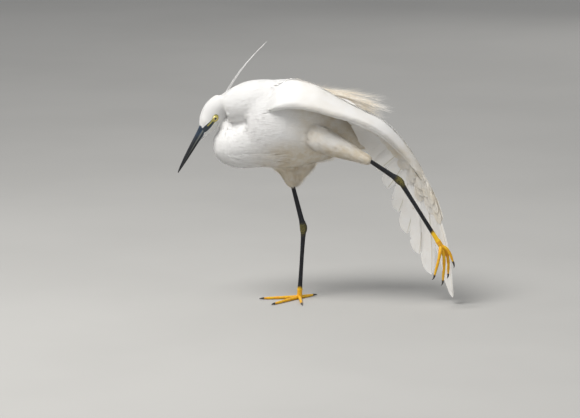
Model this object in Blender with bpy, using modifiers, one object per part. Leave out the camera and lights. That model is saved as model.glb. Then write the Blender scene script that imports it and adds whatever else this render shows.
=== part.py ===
"""Little egret, life size, standing on its right leg and stretching its left wing and left leg.

The bird faces -X, its left side is towards -Y, and the sole of its standing foot is at the origin.
The flesh is modelled whole and parted with thin cuts. Flight feathers, tail feathers, coverts and
plumes are vanes fused into the part of the body that they grow from.
"""

import math
import random

import bmesh
import bpy
from mathutils import Matrix, Vector

MM = 0.001
GAP = 0.3 * MM              # clear space between parts that touch
BODY_COLLECTION = "little_egret"


def mm(x, y, z):
    """A point or a vector given in millimetres."""
    return Vector((x, y, z)) * MM


# Joints and landmarks of the pose
BILL_BASE = mm(-144.5, -12, 261)
BILL_PITCH = math.radians(58.5)     # below the horizon
BILL_YAW = math.radians(15)         # towards the bird's left
HEAD_ROLL = math.radians(14)        # the crown leans to the left
RIGHT_HIP = mm(4, 30, 262)
RIGHT_KNEE = mm(-25, 27, 228)
RIGHT_FEATHER_END = mm(-10.5, 17, 168)
RIGHT_ANKLE = mm(5.5, 7, 107)
RIGHT_FOOT = mm(-0.5, 0, 9)
LEFT_HIP = mm(34, -26, 262)
LEFT_KNEE = mm(30, -33, 249)
LEFT_FEATHER_END = mm(105, -60, 219)
LEFT_ANKLE = mm(147.5, -66, 191.5)
LEFT_FOOT = mm(207.5, -76, 97)
TAIL_ROOT = mm(104, 15, 243)
TAIL_TIP = mm(158, 24, 196)

# Thicknesses and counts of the feathers
VANE_THICK = 0.8 * MM
COVERT_THICK = 0.8 * MM
COVERT_LIFT = 2.2           # of a folded covert's tip above the flesh, in mm
COVERT_SINK = 3.0           # of its root into the flesh, in mm
PLUME_THICK = 0.9 * MM
PRIMARIES = 10
SECONDARIES = 8
TAIL_FEATHERS = 12


# Finishes: colour and roughness
PLUMAGE = ((0.92, 0.92, 0.90), 0.8)
BILL_HORN = ((0.03, 0.035, 0.045), 0.35)
EYE_YELLOW = ((0.75, 0.62, 0.18), 0.1)
LEG_BLACK = ((0.03, 0.03, 0.03), 0.5)
FOOT_YELLOW = ((0.85, 0.55, 0.03), 0.5)
CLAW_HORN = ((0.07, 0.055, 0.05), 0.35)


def material(name, finish):
    colour, roughness = finish
    made = bpy.data.materials.new(name)
    made.use_nodes = True
    shader = made.node_tree.nodes["Principled BSDF"]
    shader.inputs["Base Color"].default_value = (*colour, 1)
    shader.inputs["Roughness"].default_value = roughness
    shader.inputs["Metallic"].default_value = 0.0
    return made


# Mesh tools

def new_object(name, points, faces):
    mesh = bpy.data.meshes.new(name)
    mesh.from_pydata([tuple(p) for p in points], [], faces)
    mesh.update()
    obj = bpy.data.objects.new(name, mesh)
    bpy.context.scene.collection.objects.link(obj)
    return obj


def remove(*objects):
    for obj in objects:
        bpy.data.objects.remove(obj)


def baked(obj):
    """Replaces an object's mesh with the one its modifiers make."""
    bpy.context.view_layer.update()
    graph = bpy.context.evaluated_depsgraph_get()
    mesh = bpy.data.meshes.new_from_object(obj.evaluated_get(graph))
    obj.modifiers.clear()
    obj.data = mesh
    return obj


def copied(obj, name):
    twin = obj.copy()
    twin.data = obj.data.copy()
    twin.name = name
    bpy.context.scene.collection.objects.link(twin)
    return twin


def boolean(obj, others, operation, solver="MANIFOLD"):
    """Joins a list of closed meshes to obj, or cuts them from it, and removes them."""
    group = bpy.data.collections.new("boolean_pieces")
    bpy.context.scene.collection.children.link(group)
    for other in others:
        for home in list(other.users_collection):
            home.objects.unlink(other)
        group.objects.link(other)
    modifier = obj.modifiers.new(operation.lower(), "BOOLEAN")
    modifier.operand_type = "COLLECTION"
    modifier.collection = group
    modifier.operation = operation
    modifier.solver = solver
    baked(obj)
    remove(*group.objects)
    bpy.data.collections.remove(group)
    return obj


def surfaces(mesh):
    """The closed surfaces of a mesh, as lists of face indices, largest volume first."""
    work = bmesh.new()
    work.from_mesh(mesh)
    work.faces.ensure_lookup_table()
    seen = set()
    found = []
    for start in work.faces:
        if start.index in seen:
            continue
        stack, members = [start], []
        seen.add(start.index)
        while stack:
            face = stack.pop()
            members.append(face.index)
            for edge in face.edges:
                for near in edge.link_faces:
                    if near.index not in seen:
                        seen.add(near.index)
                        stack.append(near)
        volume = 0.0
        for index in members:
            corners = [v.co for v in work.faces[index].verts]
            for a, b in zip(corners[1:], corners[2:]):
                volume += corners[0].dot(a.cross(b)) / 6
        found.append((volume, members))
    work.free()
    found.sort(key=lambda item: -item[0])
    return found


def keep_faces(obj, members):
    wanted = set(members)
    work = bmesh.new()
    work.from_mesh(obj.data)
    work.faces.ensure_lookup_table()
    spare = [f for f in work.faces if f.index not in wanted]
    bmesh.ops.delete(work, geom=spare, context="FACES")
    work.to_mesh(obj.data)
    work.free()
    return obj


def keep_largest(obj):
    found = surfaces(obj.data)
    if len(found) > 1:
        keep_faces(obj, found[0][1])
    return obj


def fuse(obj, pieces):
    """One union of obj with the feathers and other pieces that grow from it."""
    if pieces:
        boolean(obj, pieces, "UNION")
    return keep_largest(obj)


def swollen(obj, name, by):
    """A copy of a closed mesh grown outwards, used to cut a neighbour clear of it."""
    twin = copied(obj, name)
    work = bmesh.new()
    work.from_mesh(twin.data)
    work.normal_update()
    shifts = [(v, v.normal * by) for v in work.verts]
    for vertex, shift in shifts:
        vertex.co += shift
    work.to_mesh(twin.data)
    work.free()
    return twin


def cut_clear(obj, neighbour, by=1.5 * GAP):
    boolean(obj, [swollen(neighbour, "cutter", by)], "DIFFERENCE")
    return keep_largest(obj)


def tidy(obj):
    """Merges points that a union left almost touching, as far as the mesh stays closed."""
    for merge in (0.02 * MM, 0.008 * MM, 0.003 * MM, 0.0012 * MM):
        work = bmesh.new()
        work.from_mesh(obj.data)
        bmesh.ops.triangulate(work, faces=work.faces[:])
        bmesh.ops.remove_doubles(work, verts=work.verts[:], dist=merge)
        bmesh.ops.dissolve_degenerate(work, edges=work.edges[:], dist=merge)
        bmesh.ops.triangulate(work, faces=work.faces[:])
        closed = all(len(edge.link_faces) == 2 for edge in work.edges)
        if closed:
            work.to_mesh(obj.data)
        work.free()
        if closed:
            return obj
    return obj


def finish_node(obj, finish, place, parent, smooth_angle=40):
    """Gives a node its origin, its material and its shading, and files it with the others."""
    for home in list(obj.users_collection):
        home.objects.unlink(obj)
    parent.users_collection[0].objects.link(obj)
    obj.data.transform(Matrix.Translation(-place))
    obj.location = place
    obj.parent = parent
    obj.data.materials.clear()
    obj.data.materials.append(material(obj.name, finish))
    obj.data.shade_smooth()
    obj.data.set_sharp_from_angle(angle=math.radians(smooth_angle))
    return obj


# Shape tools

def curve_point(points, t):
    """A point at t from 0 to 1 on a smooth curve through the points."""
    count = len(points) - 1
    place = min(max(t, 0.0), 1.0) * count
    i = min(int(place), count - 1)
    f = place - i
    p1, p2 = points[i], points[i + 1]
    p0 = points[i - 1] if i > 0 else p1 * 2 - p2
    p3 = points[i + 2] if i + 2 <= count else p2 * 2 - p1
    a = p1 * 2
    b = (p2 - p0) * f
    c = (p0 * 2 - p1 * 5 + p2 * 4 - p3) * (f * f)
    d = (p1 * 3 - p0 - p2 * 3 + p3) * (f * f * f)
    return (a + b + c + d) / 2


def value_at(table, t):
    """A number at t on a smooth curve through evenly spaced numbers."""
    return curve_point([Vector((v, 0, 0)) for v in table], t).x


def curve_row(rows, t):
    """A row of numbers at t on smooth curves through the columns of a table."""
    return [value_at(column, t) for column in zip(*rows)]


def turned(vector, axis, angle):
    return Matrix.Rotation(angle, 3, axis) @ vector


def loft(name, rings):
    """A closed body through rings of equal count, with a point at each end's middle."""
    sides = len(rings[0])
    points = [p for ring in rings for p in ring]
    faces = []
    for r in range(len(rings) - 1):
        for s in range(sides):
            a = r * sides + s
            b = r * sides + (s + 1) % sides
            faces.append((a, b, b + sides, a + sides))
    first, last = len(points), len(points) + 1
    points.append(sum(rings[0], Vector()) / sides)
    points.append(sum(rings[-1], Vector()) / sides)
    top = (len(rings) - 1) * sides
    for s in range(sides):
        after = (s + 1) % sides
        faces.append((first, after, s))
        faces.append((last, top + s, top + after))
    obj = new_object(name, points, faces)
    return facing_out(obj)


def facing_out(obj):
    work = bmesh.new()
    work.from_mesh(obj.data)
    if work.calc_volume(signed=True) < 0:
        bmesh.ops.reverse_faces(work, faces=work.faces[:])
    work.to_mesh(obj.data)
    work.free()
    return obj


def ring(centre, side, up, half_width, rise, drop, sides):
    """An oval ring, with its own height above and below the centre."""
    points = []
    for i in range(sides):
        angle = 2 * math.pi * i / sides
        height = rise if math.sin(angle) > 0 else drop
        points.append(centre + side * (half_width * math.cos(angle)) + up * (height * math.sin(angle)))
    return points


def limb(name, path, radii, sides=10, side=Vector((0, 1, 0)), flat=1.0, steps=None):
    """A round limb along a smooth path. flat is the width across `side` over the depth."""
    steps = steps or 2 * (len(path) - 1)
    rings = []
    for i in range(steps + 1):
        t = i / steps
        here = curve_point(path, t)
        along = curve_point(path, min(t + 0.02, 1)) - curve_point(path, max(t - 0.02, 0))
        along.normalize()
        up = along.cross(side).normalized()
        across = up.cross(along).normalized()
        radius = value_at(radii, t)
        rings.append(ring(here, across, up, radius * flat, radius, radius, sides))
    return loft(name, rings)


def ball(name, centre, radius, segments=16, rings=10, stretch=(1, 1, 1)):
    work = bmesh.new()
    bmesh.ops.create_uvsphere(work, u_segments=segments, v_segments=rings, radius=radius)
    bmesh.ops.scale(work, vec=stretch, verts=work.verts[:])
    bmesh.ops.translate(work, vec=centre, verts=work.verts[:])
    mesh = bpy.data.meshes.new(name)
    work.to_mesh(mesh)
    work.free()
    obj = bpy.data.objects.new(name, mesh)
    bpy.context.scene.collection.objects.link(obj)
    return obj


def slab(name, centre, normal, up, half_length, half_width, thick):
    """A box, thin along its normal, that parts one body into two."""
    across = normal.cross(up).normalized()
    up = across.cross(normal).normalized()
    turn = Matrix((up, across, normal)).transposed().to_4x4()
    work = bmesh.new()
    bmesh.ops.create_cube(work, size=1)
    bmesh.ops.scale(work, vec=(2 * half_length, 2 * half_width, thick), verts=work.verts[:])
    bmesh.ops.transform(work, matrix=Matrix.Translation(centre) @ turn, verts=work.verts[:])
    mesh = bpy.data.meshes.new(name)
    work.to_mesh(mesh)
    work.free()
    obj = bpy.data.objects.new(name, mesh)
    bpy.context.scene.collection.objects.link(obj)
    return facing_out(obj)


# Feathers

FLIGHT = ((0.0, 0.25), (0.3, 0.8), (0.62, 1.0), (0.88, 0.85), (1.0, 0.2))
SHORT_FLIGHT = ((0.0, 0.3), (0.4, 0.9), (0.85, 0.9), (1.0, 0.25))
COVERT = ((0.0, 0.45), (0.5, 1.0), (0.85, 0.75), (1.0, 0.2))
PLUME = ((0.0, 1.0), (0.4, 0.9), (0.75, 0.6), (1.0, 0.25))


def vane(shaft, across_at, outline, width_in, width_out, thick, tip_thick=0.6):
    """A thin feather. shaft and across_at give a point and a sideways direction at t, root to tip.

    Both faces are split into triangles alike.
    """
    rows = []
    for t, share in outline:
        here = shaft(t)
        along = (shaft(min(t + 0.03, 1.0)) - shaft(max(t - 0.03, 0.0))).normalized()
        across = across_at(t)
        across = (across - along * across.dot(along)).normalized()
        out = along.cross(across).normalized()
        half = out * (thick * (1 - t * (1 - tip_thick)) / 2)
        left = here + across * (width_in * share)
        right = here - across * (width_out * share)
        rows.append((left + half, right + half, right - half, left - half))
    points = [p for row in rows for p in row]
    faces = [(0, 1, 2), (0, 2, 3)]
    for r in range(len(rows) - 1):
        a, b = 4 * r, 4 * (r + 1)
        faces += [(a, b, b + 1), (a, b + 1, a + 1)]
        faces += [(a + 1, b + 1, b + 2), (a + 1, b + 2, a + 2)]
        faces += [(a + 3, b + 2, b + 3), (a + 3, a + 2, b + 2)]
        faces += [(a, b + 3, b), (a, a + 3, b + 3)]
    end = 4 * (len(rows) - 1)
    faces += [(end, end + 2, end + 1), (end, end + 3, end + 2)]
    return facing_out(new_object("vane", points, faces))


def bent(root, tip, bow):
    """A shaft from root to tip whose middle is pushed sideways by bow."""
    middle = (root + tip) / 2 + bow
    return lambda t: root * ((1 - t) ** 2) + middle * (2 * t * (1 - t)) + tip * (t * t)


def steady(direction):
    return lambda t: direction


# Head and bill

def head_frame():
    """Bill direction, crown direction and the left side of the head."""
    bill = Vector((
        -math.cos(BILL_PITCH) * math.cos(BILL_YAW),
        -math.sin(BILL_YAW),
        -math.sin(BILL_PITCH) * math.cos(BILL_YAW),
    ))
    left = Vector((0, -1, 0))
    crown = turned(bill.cross(left).normalized(), bill, -HEAD_ROLL)
    return bill, crown, crown.cross(bill).normalized()


BILL, CROWN, HEAD_LEFT = head_frame()


def on_head(behind, up, left):
    """A point of the head, from the base of the bill, in millimetres."""
    return BILL_BASE - BILL * (behind * MM) + CROWN * (up * MM) + HEAD_LEFT * (left * MM)


# Distance behind the bill's base, middle height, half height and half width
HEAD_SECTIONS = (
    (-8, -2.5, 3.5, 3.5),
    (0, -1.5, 8.0, 7.2),
    (9, -1.0, 13.2, 11.2),
    (20, -1.0, 16.6, 13.4),
    (32, -2.0, 18.4, 15.0),
    (45, -6.6, 20.0, 17.0),
    (55, -11.6, 20.0, 18.0),
)
EYE_BEHIND, EYE_UP, EYE_SIDE = 21.5, -4.0, 9.9
EYE_RADIUS = 5.0 * MM
EYE_OPENING = 4.3 * MM      # radius of the opening between the lids
LID_THICK = 0.9 * MM


def head_flesh():
    rings = []
    for behind, middle, half_height, half_width in HEAD_SECTIONS:
        centre = on_head(behind, middle, 0)
        rings.append(ring(centre, HEAD_LEFT, CROWN, half_width * MM, half_height * MM, half_height * MM, 18))
    return loft("head_flesh", rings)


def chin_flesh():
    """The feathered chin reaches forward under the lower mandible."""
    path = [on_head(-17, -6.0, 0), on_head(-8, -6.6, 0), on_head(4, -9.0, 0), on_head(16, -11, 0)]
    return limb("chin_flesh", path, [1.8 * MM, 3.4 * MM, 6.0 * MM, 8 * MM], side=HEAD_LEFT)


# Torso and neck. Each torso section is x, y of the middle, middle height, half height and half width.
TORSO_SECTIONS = (
    (-80, -4, 266, 40, 28),
    (-68, -3, 267, 56, 38),
    (-44, -1, 267, 65, 45),
    (-14, 2, 267, 67, 47),
    (14, 5, 266, 62, 45),
    (42, 9, 262, 51, 40),
    (68, 12, 256, 37, 32),
    (90, 14, 249, 24, 25),
    (108, 16, 241, 14, 19),
    (118, 17, 236, 8, 14),
)
UPPER_NECK = (mm(-112, -2, 288), mm(-96, -2, 293), mm(-74, -2, 297), mm(-46, -1, 296), mm(-16, 2, 290))
UPPER_NECK_RADII = (23 * MM, 28.5 * MM, 35 * MM, 38 * MM, 38 * MM)
LOWER_NECK = (mm(-106, -2, 240), mm(-98, -2, 235), mm(-74, -2, 240), mm(-46, -1, 250), mm(-16, 2, 256))
LOWER_NECK_RADII = (25 * MM, 33.2 * MM, 39 * MM, 48 * MM, 46 * MM)
NECK_FLATNESS = 0.86


def torso_flesh():
    rings = []
    for x, y, z, half_height, half_width in TORSO_SECTIONS:
        centre = mm(x, y, z)
        rings.append(ring(centre, Vector((0, 1, 0)), Vector((0, 0, 1)), half_width * MM,
                          half_height * MM, half_height * MM, 24))
    return loft("torso_flesh", rings)


def neck_flesh():
    upper = limb("upper_neck_flesh", UPPER_NECK, UPPER_NECK_RADII, 16, flat=NECK_FLATNESS)
    lower = limb("lower_neck_flesh", LOWER_NECK, LOWER_NECK_RADII, 16, flat=NECK_FLATNESS)
    front = ball("crop_flesh", LOWER_NECK[1], LOWER_NECK_RADII[1], 20, 14, (1, NECK_FLATNESS, 1))
    throat = ball("throat_flesh", mm(-108, -3, 262), 14 * MM, 12, 8)
    return [upper, lower, front, throat]


def thigh_flesh():
    right = limb("right_thigh_flesh", [RIGHT_HIP, RIGHT_KNEE, (RIGHT_KNEE + RIGHT_FEATHER_END * 2) / 3,
                                       RIGHT_FEATHER_END],
                 [26 * MM, 28 * MM, 14 * MM, 5.2 * MM], 14)
    rear = limb("rear_thigh_flesh", [mm(14, 24, 226), mm(6, 22, 200), mm(-7, 18, 174)],
                [20 * MM, 14 * MM, 4.5 * MM], 12, steps=5)
    left = limb("left_thigh_flesh", [LEFT_HIP, LEFT_KNEE, LEFT_KNEE.lerp(LEFT_FEATHER_END, 0.55),
                                     LEFT_FEATHER_END],
                [20 * MM, 21 * MM, 13.5 * MM, 5.6 * MM], 14)
    return [right, rear, left]


FLESH_VOXEL = 2.2 * MM
FLESH_TRIANGLES = 2900


def whole_flesh():
    """Head, neck, torso and feathered thighs as one smooth body."""
    body = torso_flesh()
    boolean(body, [head_flesh(), chin_flesh(), *neck_flesh(), *thigh_flesh()], "UNION")
    remesh = body.modifiers.new("blend", "REMESH")
    remesh.mode = "VOXEL"
    remesh.voxel_size = FLESH_VOXEL
    smooth = body.modifiers.new("soften", "SMOOTH")
    smooth.factor = 0.5
    smooth.iterations = 9
    baked(body)
    group = body.vertex_groups.new(name="coarse")
    head_middle = on_head(20, 0, 0)
    for vertex in body.data.vertices:
        away = (vertex.co - head_middle).length
        far = min(1.0, max(0.0, away / (70 * MM) - 0.35))
        group.add([vertex.index], 0.38 + 0.22 * far, "REPLACE")
    reduce = body.modifiers.new("reduce", "DECIMATE")
    triangles = sum(len(p.vertices) - 2 for p in body.data.polygons)
    reduce.ratio = FLESH_TRIANGLES / triangles
    reduce.vertex_group = "coarse"
    reduce.vertex_group_factor = 1.0
    reduce.use_collapse_triangulate = True
    baked(body)
    return keep_largest(body)


# Planes that part the flesh: name, middle, normal, in-plane direction, half length and half width
NAPE_CUT = (mm(-111.3, 0, 288.8), Vector((0.955, 0, -0.297)), Vector((0, 0, 1)), 35.5 * MM, 50 * MM)
NECK_FOLD_CUT = (mm(-95.4, 0, 259.5), Vector((-0.14, 0, 0.99)), Vector((1, 0, 0)), 37.3 * MM, 60 * MM)
BREAST_CUT = (mm(-58.5, 0, 266), Vector((1, 0, 0)), Vector((0, 0, 1)), 90 * MM, 80 * MM)
RIGHT_THIGH_CUT = (mm(-14, 24, 199), Vector((0.1, 0.12, -0.98)), Vector((1, 0, 0)), 40 * MM, 36 * MM)
LEFT_THIGH_CUT = (mm(62, -48, 236), Vector((0.85, -0.22, -0.35)), Vector((0, 0, 1)), 28 * MM, 22 * MM)


def part_flesh(body):
    """Cuts the flesh into its named parts and returns them by name."""
    cuts = (NAPE_CUT, NECK_FOLD_CUT, BREAST_CUT, RIGHT_THIGH_CUT, LEFT_THIGH_CUT)
    cutters = []
    for centre, normal, up, half_length, half_width in cuts:
        cutters.append(slab("cut", centre, normal.normalized(), up, half_length, half_width, GAP))
    boolean(body, cutters, "DIFFERENCE")
    middles = {
        "head": on_head(30, 0, 0),
        "neck_upper": mm(-88, -2, 297),
        "neck_lower": mm(-95, -2, 232),
        "torso": mm(0, 4, 266),
        "thigh_right": RIGHT_KNEE.lerp(RIGHT_FEATHER_END, 0.75),
        "thigh_left": LEFT_KNEE.lerp(LEFT_FEATHER_END, 0.75),
    }
    pieces = []
    for volume, members in surfaces(body.data):
        twin = keep_faces(copied(body, "piece"), members)
        centre = sum((v.co for v in twin.data.vertices), Vector()) / len(twin.data.vertices)
        pieces.append((volume, centre, twin))
    parts = {}
    for name, middle in middles.items():
        nearest = min(pieces, key=lambda item: (item[1] - middle).length)
        pieces.remove(nearest)
        nearest[2].name = name
        parts[name] = nearest[2]
    remove(body, *[item[2] for item in pieces])
    return parts


# Bill, lids and eyes. Each bill section is distance from the base, height, depth and half width.
BILL_SECTIONS = (
    (-5, 6.9, 6.0, 5.8),
    (0, 6.9, 6.0, 5.6),
    (9, 6.0, 5.3, 4.9),
    (20, 5.3, 4.7, 4.2),
    (36, 4.4, 4.0, 3.5),
    (52, 3.4, 3.1, 2.7),
    (65, 2.2, 1.9, 1.8),
    (73, 1.2, 1.0, 1.0),
    (76, 0.5, 0.4, 0.45),
)


def mandible(name, upper):
    """Half of the bill, above or below the mouth line."""
    sides = 8
    rings = []
    for along, height, depth, half_width in BILL_SECTIONS:
        reach = height if upper else -depth
        sag = 1.4 * (along / 76) ** 3
        points = []
        for i in range(sides + 1):
            angle = math.pi * i / sides
            lift = (0.15 if upper else -0.15) + reach * math.sin(angle) ** 0.9 - sag
            points.append(on_head(-along, lift, half_width * math.cos(angle)))
        rings.append(points)
    return loft(name, rings)


def build_bill():
    upper = mandible("bill_upper", True)
    lower = mandible("bill_lower", False)
    nostrils = []
    for left in (-1, 1):
        slit = ball("nostril", Vector(), 1.0 * MM, 10, 6, (4.2, 0.8, 0.9))
        turn = Matrix((BILL, HEAD_LEFT, CROWN)).transposed().to_4x4()
        slit.matrix_world = Matrix.Translation(on_head(-10, 2.4, left * 4.6)) @ turn
        nostrils.append(slit)
    boolean(upper, nostrils, "DIFFERENCE")
    return upper, lower


def build_head(head, bill, crest):
    """Makes room for the bill and the crest's root, and adds lids and eye sockets."""
    for half in bill:
        cut_clear(head, half, 1.2 * GAP)
    cut_clear(head, crest)
    lids = []
    sockets = []
    for left in (-1, 1):
        centre = on_head(EYE_BEHIND, EYE_UP, left * EYE_SIDE)
        lids.append(ball("lid", centre, EYE_RADIUS + LID_THICK, 12, 8))
        sockets.append(ball("socket", centre, EYE_RADIUS + 1.5 * GAP, 14, 10))
        sockets.append(ball("window", centre + HEAD_LEFT * (left * EYE_RADIUS), EYE_OPENING, 10, 6))
    fuse(head, lids)
    boolean(head, sockets, "DIFFERENCE")
    return tidy(keep_largest(head))


def build_crest():
    """The two long plumes of the nape, joined at their roots."""
    root = ball("crest", CREST_ROOT, CREST_ROOT_RADIUS, 10, 8)
    plumes = []
    for number in range(2):
        tip = CREST_TIP + CREST_SPREAD * number
        shaft = bent(CREST_ROOT, tip, CREST_BOW)
        plumes.append(vane(shaft, steady(Vector((0, 1, 0))), PLUME, CREST_WIDTH, CREST_WIDTH,
                           CREST_THICK, 0.7))
    return fuse(root, plumes)


def build_eyes():
    return [ball(name, on_head(EYE_BEHIND, EYE_UP, left * EYE_SIDE), EYE_RADIUS, 12, 8)
            for name, left in (("eye_left", 1), ("eye_right", -1))]


CREST_ROOT = mm(-117, -1, 302.5)
CREST_TIP = mm(-49.5, -6, 391)
CREST_SPREAD = mm(-4, 8, -6)
CREST_BOW = mm(-7, 0, 7)
CREST_ROOT_RADIUS = 2.4 * MM
CREST_WIDTH = 1.1 * MM
CREST_THICK = 1.4 * MM


# Legs. The ends of neighbouring parts are parallel faces with the gap between them.
TIBIA_RADIUS = 3.6 * MM
ANKLE_RADIUS = 5.4 * MM
TARSUS_RADIUS = 3.0 * MM
LEG_FLATNESS = 0.8          # side to side over front to back
TOE_LENGTHS = {"inner": 47, "middle": 60, "outer": 54, "hind": 27}
TOE_SPREAD = {"inner": 42, "middle": 0, "outer": -44, "hind": 172}
CLAW_LENGTH = {"inner": 8, "middle": 8, "outer": 7.5, "hind": 10}
TOE_ROOT_HEIGHT, TOE_TIP_HEIGHT = 2.6, 1.9      # above the floor, in mm
SOLE_PAD_RADIUS = 5.4 * MM
SOLE_PAD_HEIGHT = 1.6


def shank(name, thigh, start, ankle):
    """The bare part above the ankle, its upper end meeting the feathers."""
    along = (ankle - start).normalized()
    path = [start - along * (10 * MM), start, start.lerp(ankle, 0.5), ankle - along * (12 * MM)]
    radii = [TIBIA_RADIUS * 0.85, TIBIA_RADIUS * 0.87, TIBIA_RADIUS, TIBIA_RADIUS * 1.12]
    bone = limb(name, path, radii, 10, steps=6, flat=LEG_FLATNESS)
    return cut_clear(bone, thigh)


def tarsus(name, ankle, above, foot):
    """The ankle knob and the long bone down to the foot."""
    down = (foot - ankle).normalized()
    up = (above - ankle).normalized()
    path = [ankle + up * (12 * MM - GAP), ankle + up * (5 * MM), ankle + down * (3 * MM),
            ankle + down * (14 * MM), ankle.lerp(foot, 0.5), foot - down * (14 * MM), foot - down * (5 * MM)]
    radii = [TIBIA_RADIUS * 1.12, ANKLE_RADIUS * 0.95, ANKLE_RADIUS, TARSUS_RADIUS * 1.2, TARSUS_RADIUS,
             TARSUS_RADIUS * 1.12, TARSUS_RADIUS * 1.45]
    return limb(name, path, radii, 10, steps=12, flat=LEG_FLATNESS)


def toe(root, tip, arch, radius=3.1 * MM, thin=2.1 * MM):
    """A toe with a slight swelling at each joint."""
    path = [root, root.lerp(tip, 0.33) + arch * 0.8, root.lerp(tip, 0.66) + arch * 0.7, tip]
    rings = []
    steps = 7
    for i in range(steps + 1):
        t = i / steps
        here = curve_point(path, t)
        along = (curve_point(path, min(t + 0.02, 1)) - curve_point(path, max(t - 0.02, 0))).normalized()
        across = along.cross(Vector((0, 0, 1)) if abs(along.z) < 0.8 else Vector((0, 1, 0))).normalized()
        up = across.cross(along).normalized()
        size = radius + (thin - radius) * t
        size *= 1.0 + 0.08 * (i % 2)
        rings.append(ring(here, across, up, size, size, size, 8))
    return loft("toe", rings)


def claw(name, base, along, length, down, radius=1.7 * MM):
    path = [base, base + along * (length * 0.5) + down * (length * 0.05),
            base + along * length + down * (length * 0.3)]
    return limb(name, path, [radius, radius * 0.72, radius * 0.16], 7, steps=4,
                side=along.cross(down).normalized())


def standing_foot(side):
    """The right foot flat on the floor, its toes spread about the forward direction."""
    forward = Vector((-0.62, -0.78, 0)).normalized()
    hub = mm(RIGHT_FOOT.x / MM, RIGHT_FOOT.y / MM, TOE_ROOT_HEIGHT)
    top = RIGHT_FOOT + (RIGHT_ANKLE - RIGHT_FOOT).normalized() * (5 * MM - GAP)
    body = limb("foot_" + side, [top, RIGHT_FOOT + mm(0, 0, -1.5), hub + forward * (2 * MM)],
                [TARSUS_RADIUS * 1.45, 4.2 * MM, 4.4 * MM], 10, steps=4, flat=LEG_FLATNESS)
    toes, claws = [], []
    for name, length in TOE_LENGTHS.items():
        heading = turned(forward, Vector((0, 0, 1)), math.radians(TOE_SPREAD[name]))
        tip = hub + heading * (length * MM) + mm(0, 0, TOE_TIP_HEIGHT - TOE_ROOT_HEIGHT)
        toes.append(toe(hub, tip, mm(0, 0, -0.2)))
        start = tip + heading * GAP
        claws.append(claw("claw_" + side + "_" + name, start, heading, CLAW_LENGTH[name] * MM,
                          Vector((0, 0, -0.35))))
    pad = ball("sole_pad", mm(0, 0, SOLE_PAD_HEIGHT), SOLE_PAD_RADIUS, 12, 8, (1, 1, 0.6))
    boolean(body, [*toes, pad], "UNION")
    floor = slab("floor_cut", mm(0, 0, -20), Vector((0, 0, 1)), Vector((1, 0, 0)), 0.2, 0.2, 40 * MM)
    boolean(body, [floor], "DIFFERENCE")
    return level_sole(tidy(keep_largest(body))), claws


def level_sole(foot):
    """Joins the triangles that lie on the floor into whole flats."""
    work = bmesh.new()
    work.from_mesh(foot.data)
    flats = [f for f in work.faces if all(abs(v.co.z) < 0.01 * MM for v in f.verts)]
    bmesh.ops.dissolve_faces(work, faces=flats)
    work.to_mesh(foot.data)
    work.free()
    return foot


def hanging_foot(side):
    """The left foot, relaxed, its front toes hanging together and the hind toe apart."""
    down = (LEFT_FOOT - LEFT_ANKLE).normalized()
    top = LEFT_FOOT - down * (5 * MM - GAP)
    body = limb("foot_" + side, [top, LEFT_FOOT, LEFT_FOOT + down * (6 * MM)],
                [TARSUS_RADIUS * 1.45, 4.2 * MM, 3.4 * MM], 10, steps=4, flat=LEG_FLATNESS)
    ends = {
        "middle": (mm(212, -79, 43.5), mm(4, 0, 4)),
        "inner": (mm(199.5, -86, 53), mm(2, -4, 4)),
        "outer": (mm(220, -70, 52), mm(6, 2, 3)),
        "hind": (mm(226.5, -78, 72), mm(3, 0, 4)),
    }
    toes, claws = [], []
    for name, (tip, arch) in ends.items():
        toes.append(toe(LEFT_FOOT + down * (2 * MM), tip, arch))
        along = (tip - LEFT_FOOT - arch * 1.6).normalized()
        bend = along.cross(Vector((0, 1, 0))).normalized()
        if bend.x > 0:
            bend.negate()
        claws.append(claw("claw_" + side + "_" + name, tip + along * GAP, along,
                          CLAW_LENGTH[name] * MM, bend))
    boolean(body, toes, "UNION")
    return tidy(keep_largest(body)), claws


# Left wing, stretched back and down. Nose and ridge run along the front and the top of its arm.
WING_NOSE = (
    mm(-54, -37, 291), mm(-15, -60, 301), mm(19, -66, 297), mm(45, -68, 290), mm(75, -68, 282),
    mm(105, -66, 269), mm(127, -62, 254), mm(145, -58, 236), mm(161, -54, 217), mm(176, -51, 199),
    mm(190, -48, 176),
)
WING_RIDGE = (
    mm(-50, -19, 319), mm(-13, -21, 335), mm(16, -28, 331), mm(38, -32, 320), mm(68, -34, 303),
    mm(98, -36, 288), mm(121, -38, 277), mm(146, -40, 254), mm(169, -42, 224), mm(186, -44, 191),
    mm(197, -46, 168),
)
WING_THICKNESS = (3, 11, 11, 9.5, 8, 7, 6.5, 6, 5, 4, 2.5)
ELBOW, WRIST, HAND_END = 0.30, 0.70, 0.985      # places along the arm
OUTER_TIPS = (mm(227, -47, 21), mm(229.5, -45, 11), mm(224, -40, 20))
FAN_TIPS = (mm(197.5, -28, 42.7), mm(179, -25, 73), mm(163, -21, 103), mm(147, -18, 136), mm(131, -16, 171),
            mm(115, -15, 199))
CLOSED_TIPS = (mm(108, -17, 213), mm(103, -24, 238), mm(106, -32, 262))
FLIGHT_FEATHERS = PRIMARIES + SECONDARIES
SCAPULARS = 5
SCAPULAR_START, SCAPULAR_REACH = 0.10, 0.24     # along the arm
WING_CUT_MARGIN = 60 * MM


def arm_frame(u):
    """Nose point, ridge point, direction along the arm and the direction out of its upper face."""
    nose, ridge = curve_point(WING_NOSE, u), curve_point(WING_RIDGE, u)
    before, after = max(u - 0.02, 0), min(u + 0.02, 1)
    along = (curve_point(WING_NOSE, after) - curve_point(WING_NOSE, before)
             + curve_point(WING_RIDGE, after) - curve_point(WING_RIDGE, before)).normalized()
    upper = (ridge - nose).cross(along).normalized()
    if upper.z < 0:
        upper.negate()
    return nose, ridge, along, upper


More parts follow.
